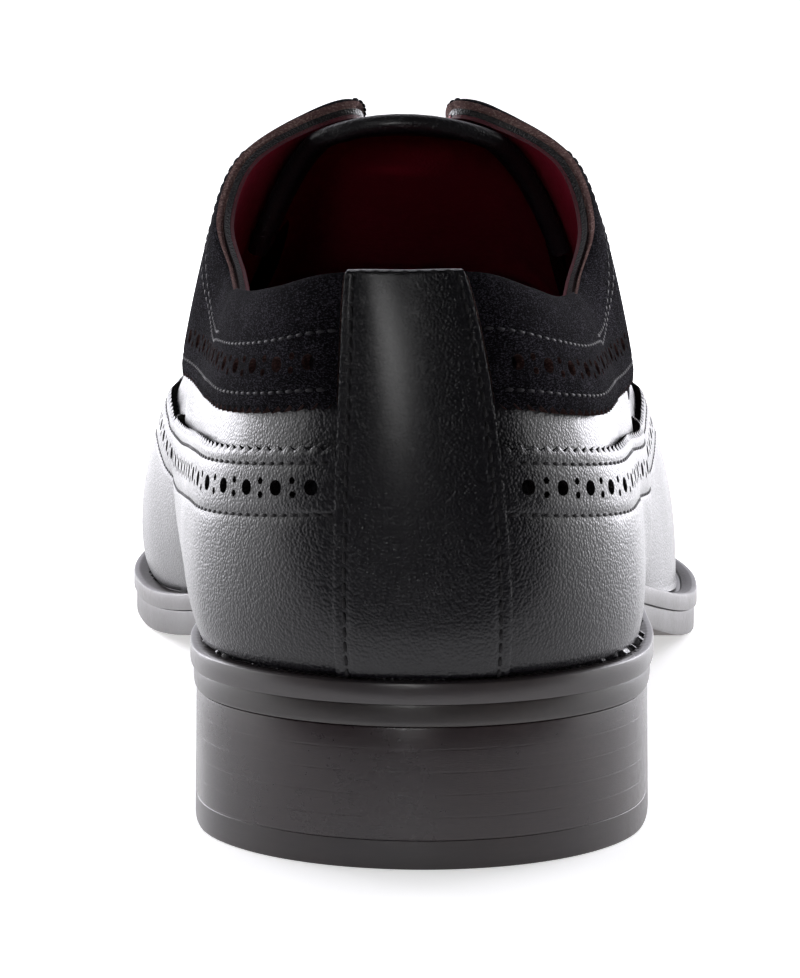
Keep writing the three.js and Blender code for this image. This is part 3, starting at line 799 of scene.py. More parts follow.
# %% Sole finishes: burnished edges, the tread, the rubber lift
def edge_finish(name, dark, light, rough, coat, layer=0.02, start=-0.002):
    polish = {"coat_weight": coat, "coat_roughness": 0.25}
    material, tree, shader = finish(name, dark, roughness=rough, specular_ior_level=0.5, **polish)
    lines = place_group(tree, stack, {"Layer": layer, "Start": start})
    patches = place_group(tree, wear, {"Patches": 40.0})
    base = tint(tree, lines.outputs["Tone"], dark, light)
    rubbed = math_node(tree, "MULTIPLY", patches.outputs["Mask"], 0.35)
    worn = wire(tree, "ShaderNodeMixRGB", {0: rubbed, 1: base, 2: (0.075, 0.05, 0.04, 1)})
    tree.links.new(worn.outputs[0], shader.inputs["Base Color"])
    roughen(tree, shader, patches.outputs["Mask"], rough - 0.06, rough + 0.2)
    relief(tree, shader, lines.outputs["Height"], 0.00006, 0.8)
    return material


heel_layers = {"layer": 0.0032, "start": 0.0043}
heel_leather = edge_finish(
    "burnished heel", (0.01, 0.0068, 0.0082), (0.026, 0.0175, 0.021), 0.3, 0.12, **heel_layers
)
welt_leather = edge_finish("burnished welt", (0.02, 0.0165, 0.018), (0.04, 0.034, 0.0365), 0.36, 0.3)
sole_edge = edge_finish("burnished sole edge", (0.008, 0.0065, 0.007), (0.02, 0.0155, 0.0155), 0.4, 0.25)
lift_rubber = edge_finish("rubber lift", (0.009, 0.0064, 0.0076), (0.022, 0.0155, 0.0185), 0.38, 0.08)
tread = edge_finish("leather tread", (0.02, 0.014, 0.012), (0.05, 0.034, 0.027), 0.55, 0.0)


# %% Thread and lace
def thread_finish(name, dark, light, turns, rough):
    material, tree, shader = finish(name, dark, roughness=rough, specular_ior_level=0.12)
    where = object_place(tree)
    twist = noise(tree, where, turns, 3.0)
    tree.links.new(tint(tree, twist.outputs["Fac"], dark, light), shader.inputs["Base Color"])
    relief(tree, shader, twist.outputs["Fac"], 0.0001)
    return material


def lace_finish():
    waxed = {"roughness": 0.7, "sheen_weight": 0.2, "specular_ior_level": 0.35}
    material, tree, shader = finish("waxed cotton lace", (0.012, 0.012, 0.014), **waxed)
    flat = wire(tree, "ShaderNodeTexCoord").outputs["UV"]
    slanted = {"Vector": flat, "Scale": (1150.0, 1150.0, 1.0), "Rotation": (0, 0, math.radians(45))}
    turned = wire(tree, "ShaderNodeMapping", slanted)
    strands = {"Color1": (0.008, 0.008, 0.01, 1), "Color2": (0.024, 0.024, 0.028, 1)}
    braid = wire(tree, "ShaderNodeTexChecker", {"Vector": turned.outputs[0], "Scale": 1.0, **strands})
    tree.links.new(braid.outputs["Color"], shader.inputs["Base Color"])
    relief(tree, shader, braid.outputs["Fac"], 0.00015, 0.8)
    return material


thread = thread_finish("black thread", (0.005, 0.005, 0.0055), (0.03, 0.028, 0.03), 2600.0, 0.5)
suede_thread = thread_finish("grey thread", (0.006, 0.0056, 0.0068), (0.022, 0.02, 0.0245), 2600.0, 0.6)
lace_cotton = lace_finish()
print(len(bpy.data.materials), "materials")

# %% [markdown]
# ## The upper and its lining
# The upper is one calf shell from the welt to the top edge, and it shows between the suede
# quarters and the wings. It is laid a little finer than the solid that it replaces. The lining is
# a second, thinner shell inside it. Two shells keep a black outside and a red inside without a
# painted mask.

# %% Columns round the shoe and rows up the wall
SECTION_FLAT = 14  # flat mm to a section, for the UV maps
shell_columns = np.concatenate([np.arange(0, 23, 1 / 9), np.arange(23, 46.001, 1 / 9)])
shell_rows = (1 - np.cos(np.linspace(0, 1, 41) * math.pi)) / 2 * 0.5 + np.linspace(0, 1, 41) * 0.5


def shell_grid(lift, rows=shell_rows):
    u, t = np.meshgrid(shell_columns, rows, indexing="ij")
    return skin(u, t, lift), np.stack([u * SECTION_FLAT, t * 80], -1)


# %% Upper
upper = weld(lay("upper_calf", *shell_grid(0)))
thicken(upper, 0.95, rim=1)
dress(upper, "calf", ["upper"], calf, calf_edge)

# %% Lining
lining = weld(lay("lining", *shell_grid(-1.0)))
thicken(lining, 0.6, rim=1)
dress(lining, "lining", ["upper"], lining_red, sock)

# %% [markdown]
# ## The long wings
# One strip of calf runs from the backstay along both sides and rises to a peak over the vamp. Its
# upper edge is pinked: cut to small teeth. Below it come a seam, the punched row, and a second
# seam. Each side is a grid with four columns to a tooth and rows at the distances where these
# lie; the edge's line is carried down the last square to itself, so they stay level with it. A
# third grid covers the toe, and the three are joined.

# %% Columns along the wing: even along its edge, then round the toe
TOOTH, LIFT = 2.13, 1.7
BACKSTAY_SIDE, BACKSTAY_TAPER = 0.96, 0.16
seam_distances = (2.6, 9.7)
wing_rows = np.array(
    [0, 1.0, 1.6, 2.1, 2.6, 3.1, 3.7, 4.3, 4.95, 5.4, 5.9, 6.4, 6.85, 7.4, 8.1, 8.8, 9.25, 9.7, 10.2, 11]
)


def backstay_side(t):
    """Half the backstay's width in sections: it narrows to its top."""
    return 0.93 - BACKSTAY_TAPER * np.asarray(t, float)


def edge_columns(edge, start, end, step):
    fine = np.linspace(start, end, 1500)
    along = lengths(skin_point(fine, edge(fine)))
    return spread(fine, along, int(round(along[-1] / step / 4)) * 4 + 1)


def evenly(u, t, count):
    along = lengths(skin_point(u, t))
    return spread(u, along, count), spread(t, along, count)


def marched(u, t, step):
    """A line moved over the last, square to itself, with its end kept on the ridge."""
    high, low = np.minimum(1, t + 0.004), np.maximum(0, t - 0.004)
    along = (skin_point(u + 0.01, t) - skin_point(u - 0.01, t)) / 0.02
    up = (skin_point(u, high) - skin_point(u, low)) / (high - low)[:, None]
    ahead = unit(np.gradient(skin_point(u, t), axis=0))
    down = step * unit(np.cross(ahead, unit(np.cross(along, up))))
    aa, bb, ab = [np.sum(x * y, -1) for x, y in ((along, along), (up, up), (along, up))]
    da, db = np.sum(down * along, -1), np.sum(down * up, -1)
    even = aa * bb - ab**2
    u, t = u + (da * bb - db * ab) / even, t + (db * aa - da * ab) / even
    u[1:-1], t[1:-1] = [(x[:-2] + 2 * x[1:-1] + x[2:]) / 4 for x in (u, t)]
    last = int(np.argmax(t >= 1)) if np.any(t >= 1) else len(t)
    a = min(last, len(t) - 1)
    slope = (u[a] - u[a - 4]) / (t[a] - t[a - 4])
    u = np.append(u[:last], u[a] + slope * (1 - t[a]))
    return evenly(u, np.append(t[:last], 1.0), len(high))


fine = np.linspace(BACKSTAY_SIDE, wing_peak, 6000)
fine_edge = np.append(wing_edge(fine[:-1]), 1.0)
teeth = int(round(lengths(skin_point(fine, fine_edge))[-1] / TOOTH)) * 4 + 1
FRONT_STEP = 0.5
fronts = [evenly(fine, fine_edge, teeth)]
while len(fronts) < wing_rows[-1] / FRONT_STEP + 1:
    fronts.append(marched(*fronts[-1], FRONT_STEP))
fronts = np.array(fronts)
print("wing columns", teeth, "ends on the ridge", fronts[0, 0, -1], fronts[-1, 0, -1])


def wing_line(distance):
    """The row at a distance from the wing's edge, as u and t; a distance may be given per column."""
    place = np.clip(distance / FRONT_STEP + np.zeros(teeth), 0, len(fronts) - 1.001)
    k, share, column = place.astype(int), place % 1, np.arange(teeth)
    return fronts[k, :, column].T * (1 - share) + fronts[k + 1, :, column].T * share


def tooth(k):
    """A pinked edge over its columns: up to a tip and down to a notch, in mm."""
    return np.array([0.0, -0.5, 0.0, 0.5])[k % 4]


def pressed(distance, seams, edge=0.8):
    """The leather's face sinks at its seams and thins to its edge."""
    sunk = sum(0.2 * np.exp(-(((distance - s) / 0.55) ** 2)) for s in seams)
    return -sunk - 0.45 * np.exp(-np.maximum(distance, 0) / edge)


def wing_side(mirror):
    column = np.arange(teeth)
    rows = []
    for distance in wing_rows:
        cut = distance if distance else 0.5 + np.where(column < teeth - 4, 0.9 * tooth(column), -0.5)
        u, t = wing_line(cut)
        rows.append((u, t, LIFT + pressed(distance, seam_distances) + 0 * u, -distance + 0 * u))
    u, t = wing_line(wing_rows[-1])
    rows += [(u, t * (1 - share), LIFT + 0 * u, -11 - share * 30 + 0 * u) for share in lower_rows[1:]]
    u, t, lift, flat = np.array(rows[::-1]).transpose(1, 2, 0)
    u = u - np.clip(2 - u / BACKSTAY_SIDE, 0, 1) * BACKSTAY_TAPER * t
    places, flat = skin(around - u if mirror else u, t, lift), np.stack([u * SECTION_FLAT, flat], -1)
    return (places[::-1], flat[::-1]) if mirror else (places, flat)


def wing_toe():
    half = np.linspace(fronts[-1, 0, -1], sections, 80)
    u = np.concatenate([half, around - half[-2::-1]])[:, None] + 0 * lower_rows
    t = 1 - lower_rows[::-1] + 0 * u
    return skin(u, t, LIFT + 0 * u), np.stack([u * SECTION_FLAT, -11 - 30 * (1 - t)], -1)


lower_rows = np.linspace(0, 1, 14)
parts = [
    lay("wing_outer_side", *wing_side(False)),
    lay("wing_toe", *wing_toe()),
    lay("wing_inner_side", *wing_side(True)),
]
bpy.ops.object.select_all(action="DESELECT")
for piece in parts:
    piece.select_set(True)
bpy.context.view_layer.objects.active = parts[0]
bpy.ops.object.join()
wing = weld(bpy.context.object, 0.03)
wing.name = wing.data.name = "wing_leather"
smooth_spot(wing, skin(sections, 1.0, LIFT), 6)

# %% The wing's punched row
PITCH, BIG, SMALL = 6.39, 1.15, 0.56
all_holes = []
for mirror in (False, True):
    def punched(shift):
        u, t = wing_line(5.9 - shift)
        return (around - u if mirror else u), t
    all_holes.append(brogue_row(punched, LIFT, PITCH, BIG, SMALL, 0.95))
punch(wing, *[np.concatenate(x) for x in zip(*all_holes)])
thicken(wing, 1.6, rim=1)
dress(wing, "calf", ["wing"], calf, calf_edge)

# %% The wing's two seams on both sides
for distance in seam_distances:
    u, t = wing_line(distance)
    sew("wing_seams", u, t, LIFT - 0.18)
    sew("wing_seams", around - u, t, LIFT - 0.18)
seam_piece("wing_seams", "calf", thread)

# %% [markdown]
# ## The suede quarters
# Each quarter is the side of the shoe above the wing: collar, side and lacing edge. It is cut
# from suede with a raw top edge, pinked below, with a punched band between two seams, a seam
# under the collar and one beside the laces. The same way of laying is used, with rows counted
# from both edges.

# %% One quarter
quarter_low = np.array(
    [0, 1.0, 1.6, 2.1, 2.6, 3.2, 3.9, 4.6, 5.15, 5.6, 6.1, 6.6, 7.05, 7.6, 8.3, 9.1, 9.6, 10.2]
)
quarter_high = np.array([4.6, 4.0, 3.5, 3.0, 2.2, 1.2, 0.5, 0])
eyelet_step, lace_radius = 0.8, 1.2
eyelets = np.linspace(12.8, 11, 5)


def quarter_lengths(u):
    table = wall_lengths(u)
    low = np.array([np.interp(t, wall_steps, row) for t, row in zip(quarter_edge(u), table)])
    return table, low, table[:, -1]


def quarter_grid(mirror):
    u = edge_columns(quarter_edge, BACKSTAY_SIDE, quarter_front, TOOTH / 4)
    count = len(u)
    side = around - u if mirror else u
    table, low, high = quarter_lengths(side)
    fit = np.minimum(1, (high - low) / 16.5)
    slope = squareness(quarter_edge, np.clip(u, 1, quarter_front - 0.1))
    t, lift, flat = [], [], []
    for n, distance in enumerate(quarter_low):
        rise = distance * fit / slope if n else -tooth(np.arange(count))
        t.append(step_from_length(side, low + rise, table))
        lift.append(LIFT + pressed(distance, (2.3,)) + 0 * u)
        flat.append(distance + 0 * u)
    below, above = t[-1], step_from_length(side, high - quarter_high[0] * fit, table)
    above = np.maximum(above, below + 0.01)
    for share in np.linspace(0, 1, 9)[1:-1]:
        t.append(below + (above - below) * share)
        lift.append(LIFT + 0 * u)
        flat.append(12 + share * 10 + 0 * u)
    for distance in quarter_high:
        row = np.maximum(step_from_length(side, high - distance * fit, table), above)
        t.append(row if distance else np.ones(count))
        lift.append(LIFT + pressed(distance, (), 0.5) + 0 * u)
        flat.append(30 - distance + 0 * u)
    t, lift, flat = [np.array(x).T for x in (t, lift, flat)]
    near = np.clip(2 - u / BACKSTAY_SIDE, 0, 1)[:, None] * BACKSTAY_TAPER * t
    front = np.clip((u - quarter_front + 0.25) / 0.25, 0, 1)[:, None]
    wave = 0.035 * np.array([0, 1, 0, -1])[np.arange(t.shape[1]) % 4] * (t < 0.97)
    uu = u[:, None] - near + front * wave
    uu = around - uu if mirror else uu
    return skin(uu, t, lift), np.stack([u[:, None] * SECTION_FLAT + 0 * t, flat], -1)


def quarter_line(distance, mirror, start=0.99, end=quarter_front - 0.45, count=600):
    """A row over the quarter's lower edge."""
    u = np.linspace(start, end, 1200)
    side = around - u if mirror else u
    table, low, high = quarter_lengths(side)
    rise = distance * np.minimum(1, (high - low) / 16.5)
    rise = rise / squareness(quarter_edge, np.clip(u, 1, quarter_front - 0.1))
    t = step_from_length(side, low + rise, table)
    along = lengths(skin_point(side, t))
    return spread(side, along, count), spread(t, along, count)


def front_line(distance, mirror, low, high, count=200):
    """A line at a distance behind the quarter's front edge."""
    t = np.linspace(low, high, count)
    at_front = quarter_front + 0 * t
    per_section = np.linalg.norm(skin_point(at_front, t) - skin_point(at_front - 0.2, t), axis=-1) / 0.2
    u = quarter_front - distance / per_section
    return (around - u if mirror else u), t


def quarter(name, node, mirror):
    places, flat = quarter_grid(mirror)
    if mirror:
        places, flat = places[::-1], flat[::-1]
    piece = lay(name, places, flat)
    middle = quarter_line(6.1, mirror)
    rows = {0: middle[1]}
    for shift in (0.95, -0.95):
        line = quarter_line(6.1 + shift, mirror)
        line_order = np.argsort(line[0])
        rows[shift] = np.interp(middle[0], line[0][line_order], line[1][line_order])
    holes = [brogue_row(lambda d: (middle[0], rows[d]), LIFT, PITCH, BIG, SMALL, 0.95)]
    u, t = front_line(6.1, mirror, float(middle[1][-1]) + 0.03, 0.93)
    uu = {0: u}
    for shift in (0.95, -0.95):
        uu[shift] = front_line(6.1 - shift, mirror, t[0], t[-1])[0]
    along = lengths(skin_point(u, t))
    for distance, radius, shift in ((0, BIG, 0.5), (0.95, SMALL, 0), (-0.95, SMALL, 0)):
        where = (np.arange(int(along[-1] // PITCH)) + shift + 0.5) * PITCH
        where = where[where < along[-1]]
        a, b = np.interp(where, along, uu[distance]), np.interp(where, along, t)
        holes.append((skin(a, b, LIFT), skin_normal(a, b), np.full(len(a), radius)))
    lacing = around - eyelets if mirror else eyelets
    step = eyelet_step + 0 * lacing
    holes.append((skin(lacing, step, LIFT), skin_normal(lacing, step), np.full(len(lacing), 1.75)))
    punch(piece, *[np.concatenate(x) for x in zip(*holes)])
    thicken(piece, 1.6, rim=1)
    return dress(piece, "suede", [node], suede, raw_edge)


quarter("suede_outer", "quarter_outer", False)
quarter("suede_inner", "quarter_inner", True)


# %% The quarters' seams
def quarter_seams(mirror):
    flip = (lambda u: around - u) if mirror else (lambda u: u)
    lift = LIFT - 0.16
    sew("suede_seams", *quarter_line(2.3, mirror, end=quarter_front - 0.2), lift, width=0.6)
    corner = float(quarter_edge(quarter_front)) + 0.05
    sew("suede_seams", *front_line(2.3, mirror, corner, 0.97), lift, width=0.6)
    collar_u = np.linspace(0.86, 9.75, 500)
    table, _, high = quarter_lengths(flip(collar_u))
    sew("suede_seams", flip(collar_u), step_from_length(flip(collar_u), high - 8, table), LIFT, width=0.6)
    # the band's upper seam leaves the edge at the side and turns up beside the laces
    turn_u, turn_t = quarter_line(9.6, mirror, start=4.0, end=8.2)
    turn_u = section_of(turn_u)
    share = smooth((turn_u - 4.6) / 3.6)
    sew("suede_seams", flip(turn_u), turn_t + (0.9 - turn_t) * share**1.6, LIFT, width=0.6)
    facing = np.linspace(9.9, 12.9, 200)
    for t in (0.93, 0.66):
        sew("suede_seams", flip(facing), t + 0 * facing, LIFT - 0.02)


for mirror in (False, True):
    quarter_seams(mirror)
seam_piece("suede_seams", "suede", suede_thread)

# %% [markdown]
# ## The backstay
# A strip of calf covers the back seam, a little prouder than the quarters and wings that meet it.
# It narrows to its top, where it is folded over the collar's edge, and a seam runs just inside
# both sides and under the fold.

# %% Backstay
BACKSTAY_HALF, BACKSTAY_HEIGHT = 13.0, 62  # mm, laid flat


def backstay_grid():
    across = np.concatenate([[-1, -0.985], np.linspace(-0.955, 0.955, 41), [0.985, 1]])
    t = np.linspace(0, 1, 70)
    places, flat = [], []
    for a in across:
        u = a * backstay_side(t)
        side = BACKSTAY_HALF - abs(a) * BACKSTAY_HALF
        dip = 0.3 * pressed(side, (), 0.5) - 0.22 * np.exp(-(((side - 1.7) / 0.5) ** 2))
        dip = dip - 0.2 * np.exp(-((((1 - t) * BACKSTAY_HEIGHT - 2.1) / 0.5) ** 2))
        line = skin(u, t, 2.1 + dip)
        over = [(1.75, 0.15), (1.0, 0.4), (-0.4, 0.45), (-1.4, 0.25), (-2.0, -0.2)]
        end = skin_point(u[-1], 1.0)
        normal = skin_normal(u[-1], 1.0)
        fold = [end + normal * x + np.array([0, 0, z]) for x, z in over]
        inside = [skin(u[-1], s, -2.05) for s in (0.97, 0.94, 0.91)]
        places.append(np.concatenate([line, fold, inside]))
        flat.append([[a * BACKSTAY_HALF, BACKSTAY_HEIGHT * s] for s in np.linspace(0, 1.1, len(places[-1]))])
    return np.array(places), np.array(flat)


backstay = lay("backstay_calf", *backstay_grid())
thicken(backstay, 0.35)
dress(backstay, "calf", ["backstay"], calf)
side_t = np.linspace(0.01, 0.955, 300)
for side in (-1, 1):
    sew("backstay_seams", side * backstay_side(side_t) * 0.87, side_t, 1.95, pitch=2.1)
top_u = np.linspace(-0.66, 0.66, 60)
sew("backstay_seams", top_u, 0.962 + 0 * top_u, 1.95, pitch=2.1)
seam_piece("backstay_seams", "calf", thread)

# %% [markdown]
# ## The tongue
# The tongue lies under both facings: calf outside, red lining inside, its top edge bound in a
# dark strip. It is laid in one piece across the throat and thickened downwards.

# %% Tongue
def tongue_grid(lift, start=9.0, end=15.0, stations=56):
    s = np.linspace(start, end, stations)
    wall = np.linspace(5 / 9, 1, 18)
    lines = []
    for place in s:
        outer = skin(place + 0 * wall, wall, lift)
        inner = skin(around - place + 0 * wall, wall, lift)[::-1]
        a, b = outer[-1], inner[0]
        reach = np.linalg.norm(b - a) / 3
        p = a + unit(a - outer[-2]) * reach
        q = b + unit(b - inner[1]) * reach
        k = np.linspace(0, 1, 12)[1:-1, None]
        bridge = a * (1 - k) ** 3 + 3 * p * k * (1 - k) ** 2 + 3 * q * k**2 * (1 - k) + b * k**3
        lines.append(np.concatenate([outer, bridge, inner]))
    lines = np.array(lines)
    for _ in range(8):
        lines[:, 1:-1] = (lines[:, :-2] + 2 * lines[:, 1:-1] + lines[:, 2:]) / 4
    return lines


rows_ahead = tongue_grid(-2.35)
tongue_places = np.transpose(rows_ahead[::-1], (1, 0, 2))
down = np.linspace(6 * SECTION_FLAT, 0, tongue_places.shape[1])
across = np.arange(len(tongue_places)) * 2.0
tongue_flat = np.stack(np.meshgrid(across, down, indexing="ij"), -1)
tongue = lay("tongue_leather", tongue_places, tongue_flat)
thicken(tongue, 2.3, back=1, rim=2)
dress(tongue, "calf", ["tongue"], calf, lining_red, calf)

# %% The tongue's bound edge
edge_line = tongue_grid(-2.35, 9, 9.25, 2)
inner_line = tongue_grid(-4.65, 9, 9.25, 2)


def binding_grid():
    ahead = unit(edge_line[1] - edge_line[0])
    out = unit(edge_line[0] - inner_line[0])
    middle = (edge_line[0] + inner_line[0]) / 2
    ring_points = []
    for depth, angle in [(3.0, 0)] + [(0, a) for a in np.linspace(0, 180, 9)] + [(3.0, 180)]:
        a = math.radians(angle)
        bulge = 1.32 * math.cos(a) * out - 0.9 * math.sin(a) * ahead
        ring_points.append(middle + bulge + depth * ahead)
    points = np.transpose(np.array(ring_points)[::-1], (1, 0, 2))
    across, round_edge = np.arange(points.shape[0]) * 2.0, np.arange(points.shape[1]) * 0.8
    flat = np.stack(np.meshgrid(across, round_edge, indexing="ij"), -1)
    return points, flat


binding = lay("tongue_binding", *binding_grid())
thicken(binding, 0.25)
dress(binding, "calf", ["tongue"], calf)

# %% [markdown]
# ## Welt, outsole, heel and lift
# The welt is a leather band sewn round the upper's foot, with small ridges pressed between its
# stitches. Each sole layer is one closed profile carried round the shoe's outline, with its
# corners broken as a maker does with a hot iron. Its flat faces are bridged from side to side.

# %% A profile carried round the outline
def closed_columns(count):
    fine = np.linspace(0, around, 3000)
    line = outline(fine, 0)
    along = lengths(line)
    half = spread(fine[:1501], along[:1501], count // 2 + 1)
    return np.concatenate([half, around - half[-2::-1]])


def band(name, u, profile, loop):
    """profile rows are (inset, height) functions or numbers; a loop closes on itself."""
    rows = []
    for inset, height in profile:
        inset = inset(u) if callable(inset) else inset + 0 * u
        spot = outline(u, inset)
        rows.append(np.concatenate([spot, height(u, spot[:, 1])[:, None]], -1))
    if loop:
        rows.append(rows[0])
    places = np.array(rows).transpose(1, 0, 2)
    run = np.cumsum([0] + [1.0] * (len(rows) - 1))
    flat = np.stack(np.meshgrid(u * SECTION_FLAT, run, indexing="ij"), -1)
    return weld(lay(name, places, flat))


def cap_ends(piece):
    """Bridges the band's open rims from side to side, as level strips."""
    shape = bmesh.new()
    shape.from_mesh(piece.data)
    rim = {}
    for edge in shape.edges:
        if edge.is_boundary:
            for a, b in (edge.verts, reversed(edge.verts)):
                rim.setdefault(a, []).append(b)
    left = set(rim)
    while left:
        first = min(left, key=lambda v: (v.co.y, v.co.x))
        loop, here, last = [first], rim[first][0], first
        while here is not first:
            loop.append(here)
            here, last = next(v for v in rim[here] if v is not last), here
        left -= set(loop)
        half = len(loop) // 2
        for k in range(half):
            corners = [loop[k], loop[k + 1], loop[-k - 1], loop[(-k) % len(loop)]]
            shape.faces.new(list(dict.fromkeys(corners)))
    bmesh.ops.recalc_face_normals(shape, faces=shape.faces)
    shape.to_mesh(piece.data)
    shape.free()
    return piece


# %% Welt
RIDGE = 1.25
welt_count = int(round(lengths(outline(np.linspace(0, around, 2000), 0))[-1] / RIDGE)) * 4
welt_u = closed_columns(welt_count)
ridge_wave = np.resize([1.0, 0.55, -0.6, 0.55], len(welt_u))


def level(shift):
    return lambda u, y: welt_top(y) + shift


def ridged(shift, height):
    return lambda u, y: welt_top(y) + shift + height * ridge_wave


def seat(shift):
    return lambda u: reveal(u) + shift


welt = band("welt_band", welt_u, [
    (seat(2.6), lambda u, y: outsole_top(y) + 0.3),
    (0.45, lambda u, y: outsole_top(y) + 0.3),
    (0.12, lambda u, y: outsole_top(y) + 0.32),
    (0.0, lambda u, y: outsole_top(y) + 0.6),
    (0.0, level(-0.6)),
    (0.08, level(-0.25)),
    (0.35, level(-0.05)),
    (0.9, level(0.0)),
    (1.2, ridged(-0.05, 0.12)),
    (2.1, ridged(-0.02, 0.17)),
    (2.9, ridged(-0.05, 0.12)),
    (3.2, level(-0.3)),
    (seat(-0.6), level(-0.1)),
    (seat(0.4), level(0.0)),
    (seat(2.6), level(0.0)),
], True)
dress(welt, "welt", ["welt"], welt_leather, angle=35)

# %% Outsole
sole_u = closed_columns(720)
outsole = band("outsole_edge", sole_u, [
    (4.0, lambda u, y: ground(y)),
    (1.1, lambda u, y: ground(y)),
    (0.7, lambda u, y: ground(y) + 0.1),
    (0.54, lambda u, y: ground(y) + 0.35),
    (0.5, lambda u, y: ground(y) + 0.7),
    (0.5, lambda u, y: outsole_top(y) - 0.2),
    (0.58, lambda u, y: outsole_top(y) + 0.15),
    (0.9, lambda u, y: outsole_top(y) + 0.24),
    (4.0, lambda u, y: outsole_top(y) + 0.24),
], False)
cap_ends(outsole)
dress(outsole, "sole", ["outsole"], sole_edge, tread, angle=35)
for face in outsole.data.polygons:
    face.material_index = 1 if face.normal.z < -0.6 else 0


# %% Heel stack and top lift: rings round the heel with a hollow breast
def heel_ring(z, inset, count=96, across=24):
    low, high = 0.0, float(sections)
    for _ in range(40):
        middle = (low + high) / 2
        low, high = (middle, high) if at("welt y", middle) < HEEL - BACK else (low, middle)
    front = (low + high) / 2
    u = front * np.linspace(-1, 1, 2 * count + 1)
    side = outline(u, 0.6 + 0.3 * z / 20 + inset)
    share = np.linspace(0, 1, across + 1)[1:-1, None]
    breast = side[-1] + (side[0] - side[-1]) * share
    breast[:, 1] -= 4 * np.sin(math.pi * share[:, 0]) + inset * 0.8
    flat = np.concatenate([side, breast])
    return np.concatenate([flat, np.full((len(flat), 1), z)], -1)


def heel_block(name, levels):
    rows = [heel_ring(z, inset) for z, inset in levels]
    places = np.array(rows).transpose(1, 0, 2)
    places = np.concatenate([places, places[:1]])
    piece = weld(lay(name, places))
    only(piece)
    bpy.ops.object.mode_set(mode="EDIT")
    bpy.ops.mesh.select_all(action="DESELECT")
    bpy.ops.mesh.select_mode(type="EDGE")
    bpy.ops.mesh.select_non_manifold()
    bpy.ops.mesh.edge_face_add()
    bpy.ops.mesh.select_all(action="SELECT")
    bpy.ops.mesh.normals_make_consistent(inside=False)
    bpy.ops.object.mode_set(mode="OBJECT")
    return piece


plain_levels = [(height, 0.0) for height in (4.6, 8.5, 12.3, 16.1, 19.9)]
stack_levels = [(4.22, 0.06), (4.3, 0.01), *plain_levels, (20.15, 0.05), (20.25, 0.2)]
stack_piece = heel_block("heel_layers", stack_levels)
dress(stack_piece, "heel", ["heel_stack"], heel_leather, angle=35)
lift_levels = [(0.0, 0.35), (0.1, 0.12), (0.3, 0.02), (0.6, 0.0), (3.9, 0.0), (4.12, 0.01), (4.18, 0.06)]
lift_piece = heel_block("heel_lift", lift_levels)
dress(lift_piece, "lift", ["top_lift"], lift_rubber, angle=35)

# %% The insole keeps its solid and gets the sock's finish
insole = bpy.data.objects["insole"]
insole.data.materials.clear()
insole.data.materials.append(sock)

# %% [markdown]
# ## Laces
# A round waxed lace is threaded through five pairs of punched holes: a bar at the bottom, then
# strands that cross. Each strand comes up out of its hole, rises over the lacing edge and goes
# down into the hole on the other side. One strand of each crossing passes over the other.

# %% Lace strands
def tube(path, radius, sides=10):
    path = np.asarray(path)
    tangent = unit(np.gradient(path, axis=0))
    normal = unit(np.cross(tangent, [0.2, 1.0, 0.1]))
    other = np.cross(tangent, normal)
    angle = np.linspace(0, 2 * math.pi, sides + 1)
    circle = normal[:, None] * np.cos(angle)[None, :, None] + other[:, None] * np.sin(angle)[None, :, None]
    along = lengths(path)
    flat = np.stack([along[:, None] + 0 * angle, 0 * along[:, None] + angle * radius], -1)
    return path[:, None] + circle * radius, flat


def curve_through(points, count=44):
    points = np.asarray(points)
    padded = np.concatenate([2 * points[:1] - points[1:2], points, 2 * points[-1:] - points[-2:-1]])
    place = np.linspace(0, len(points) - 1 - 1e-6, count)
    k, s = place.astype(int), place % 1
    a, b, c, d = [padded[k + n] for n in range(4)]
    s = s[:, None]
    return b + 0.5 * s * (c - a + s * (2 * a - 5 * b + 4 * c - d + s * (3 * (b - c) + d - a)))


def strand(name, start, end, over):
    rest = LIFT + lace_radius + 0.25
    points = []
    for a, b, turned in ((start, end, False), (end, start, True)):
        place = lambda share: around - (a + (b - a) * share) if turned else a + (b - a) * share
        side = [skin(place(0), eyelet_step, lift) for lift in (-0.9, 1.4)]
        way = [(0.03, eyelet_step + 0.035, 0.1), (0.12, eyelet_step + 0.12, 0), (0.27, 1.0, 0.3)]
        side += [skin(place(share), t, rest + rise) for share, t, rise in way]
        points.append(side)
    middle = (points[0][-1] + points[1][-1]) / 2 + np.array([0, 0, over])
    path = curve_through(points[0] + [middle] + points[1][::-1])
    piece = weld(lay(name, *tube(path, lace_radius)), 0.001)
    return piece, lengths(path)[-1]


strands = [strand("lace_bar", eyelets[0], eyelets[0], 0.2)]
for k in range(4):
    strands.append(strand(f"lace_over_{k + 1}", eyelets[k], eyelets[k + 1], 1.25))
    strands.append(strand(f"lace_under_{k + 1}", eyelets[k + 1], eyelets[k], -1.0))
bpy.ops.object.select_all(action="DESELECT")
for piece, _ in strands:
    piece.select_set(True)
bpy.context.view_layer.objects.active = strands[0][0]
bpy.ops.object.join()
lace = bpy.context.object
lace.name = lace.data.name = "lace_round"
only(lace)
bpy.ops.object.mode_set(mode="EDIT")
bpy.ops.mesh.select_all(action="DESELECT")
bpy.ops.mesh.select_mode(type="EDGE")
bpy.ops.mesh.select_non_manifold()
bpy.ops.mesh.fill_holes(sides=0)
bpy.ops.mesh.select_all(action="SELECT")
bpy.ops.mesh.normals_make_consistent(inside=False)
bpy.ops.object.mode_set(mode="OBJECT")
dress(lace, "lace", ["lace"], lace_cotton)
print("lace shown, mm", round(sum(x for _, x in strands)))
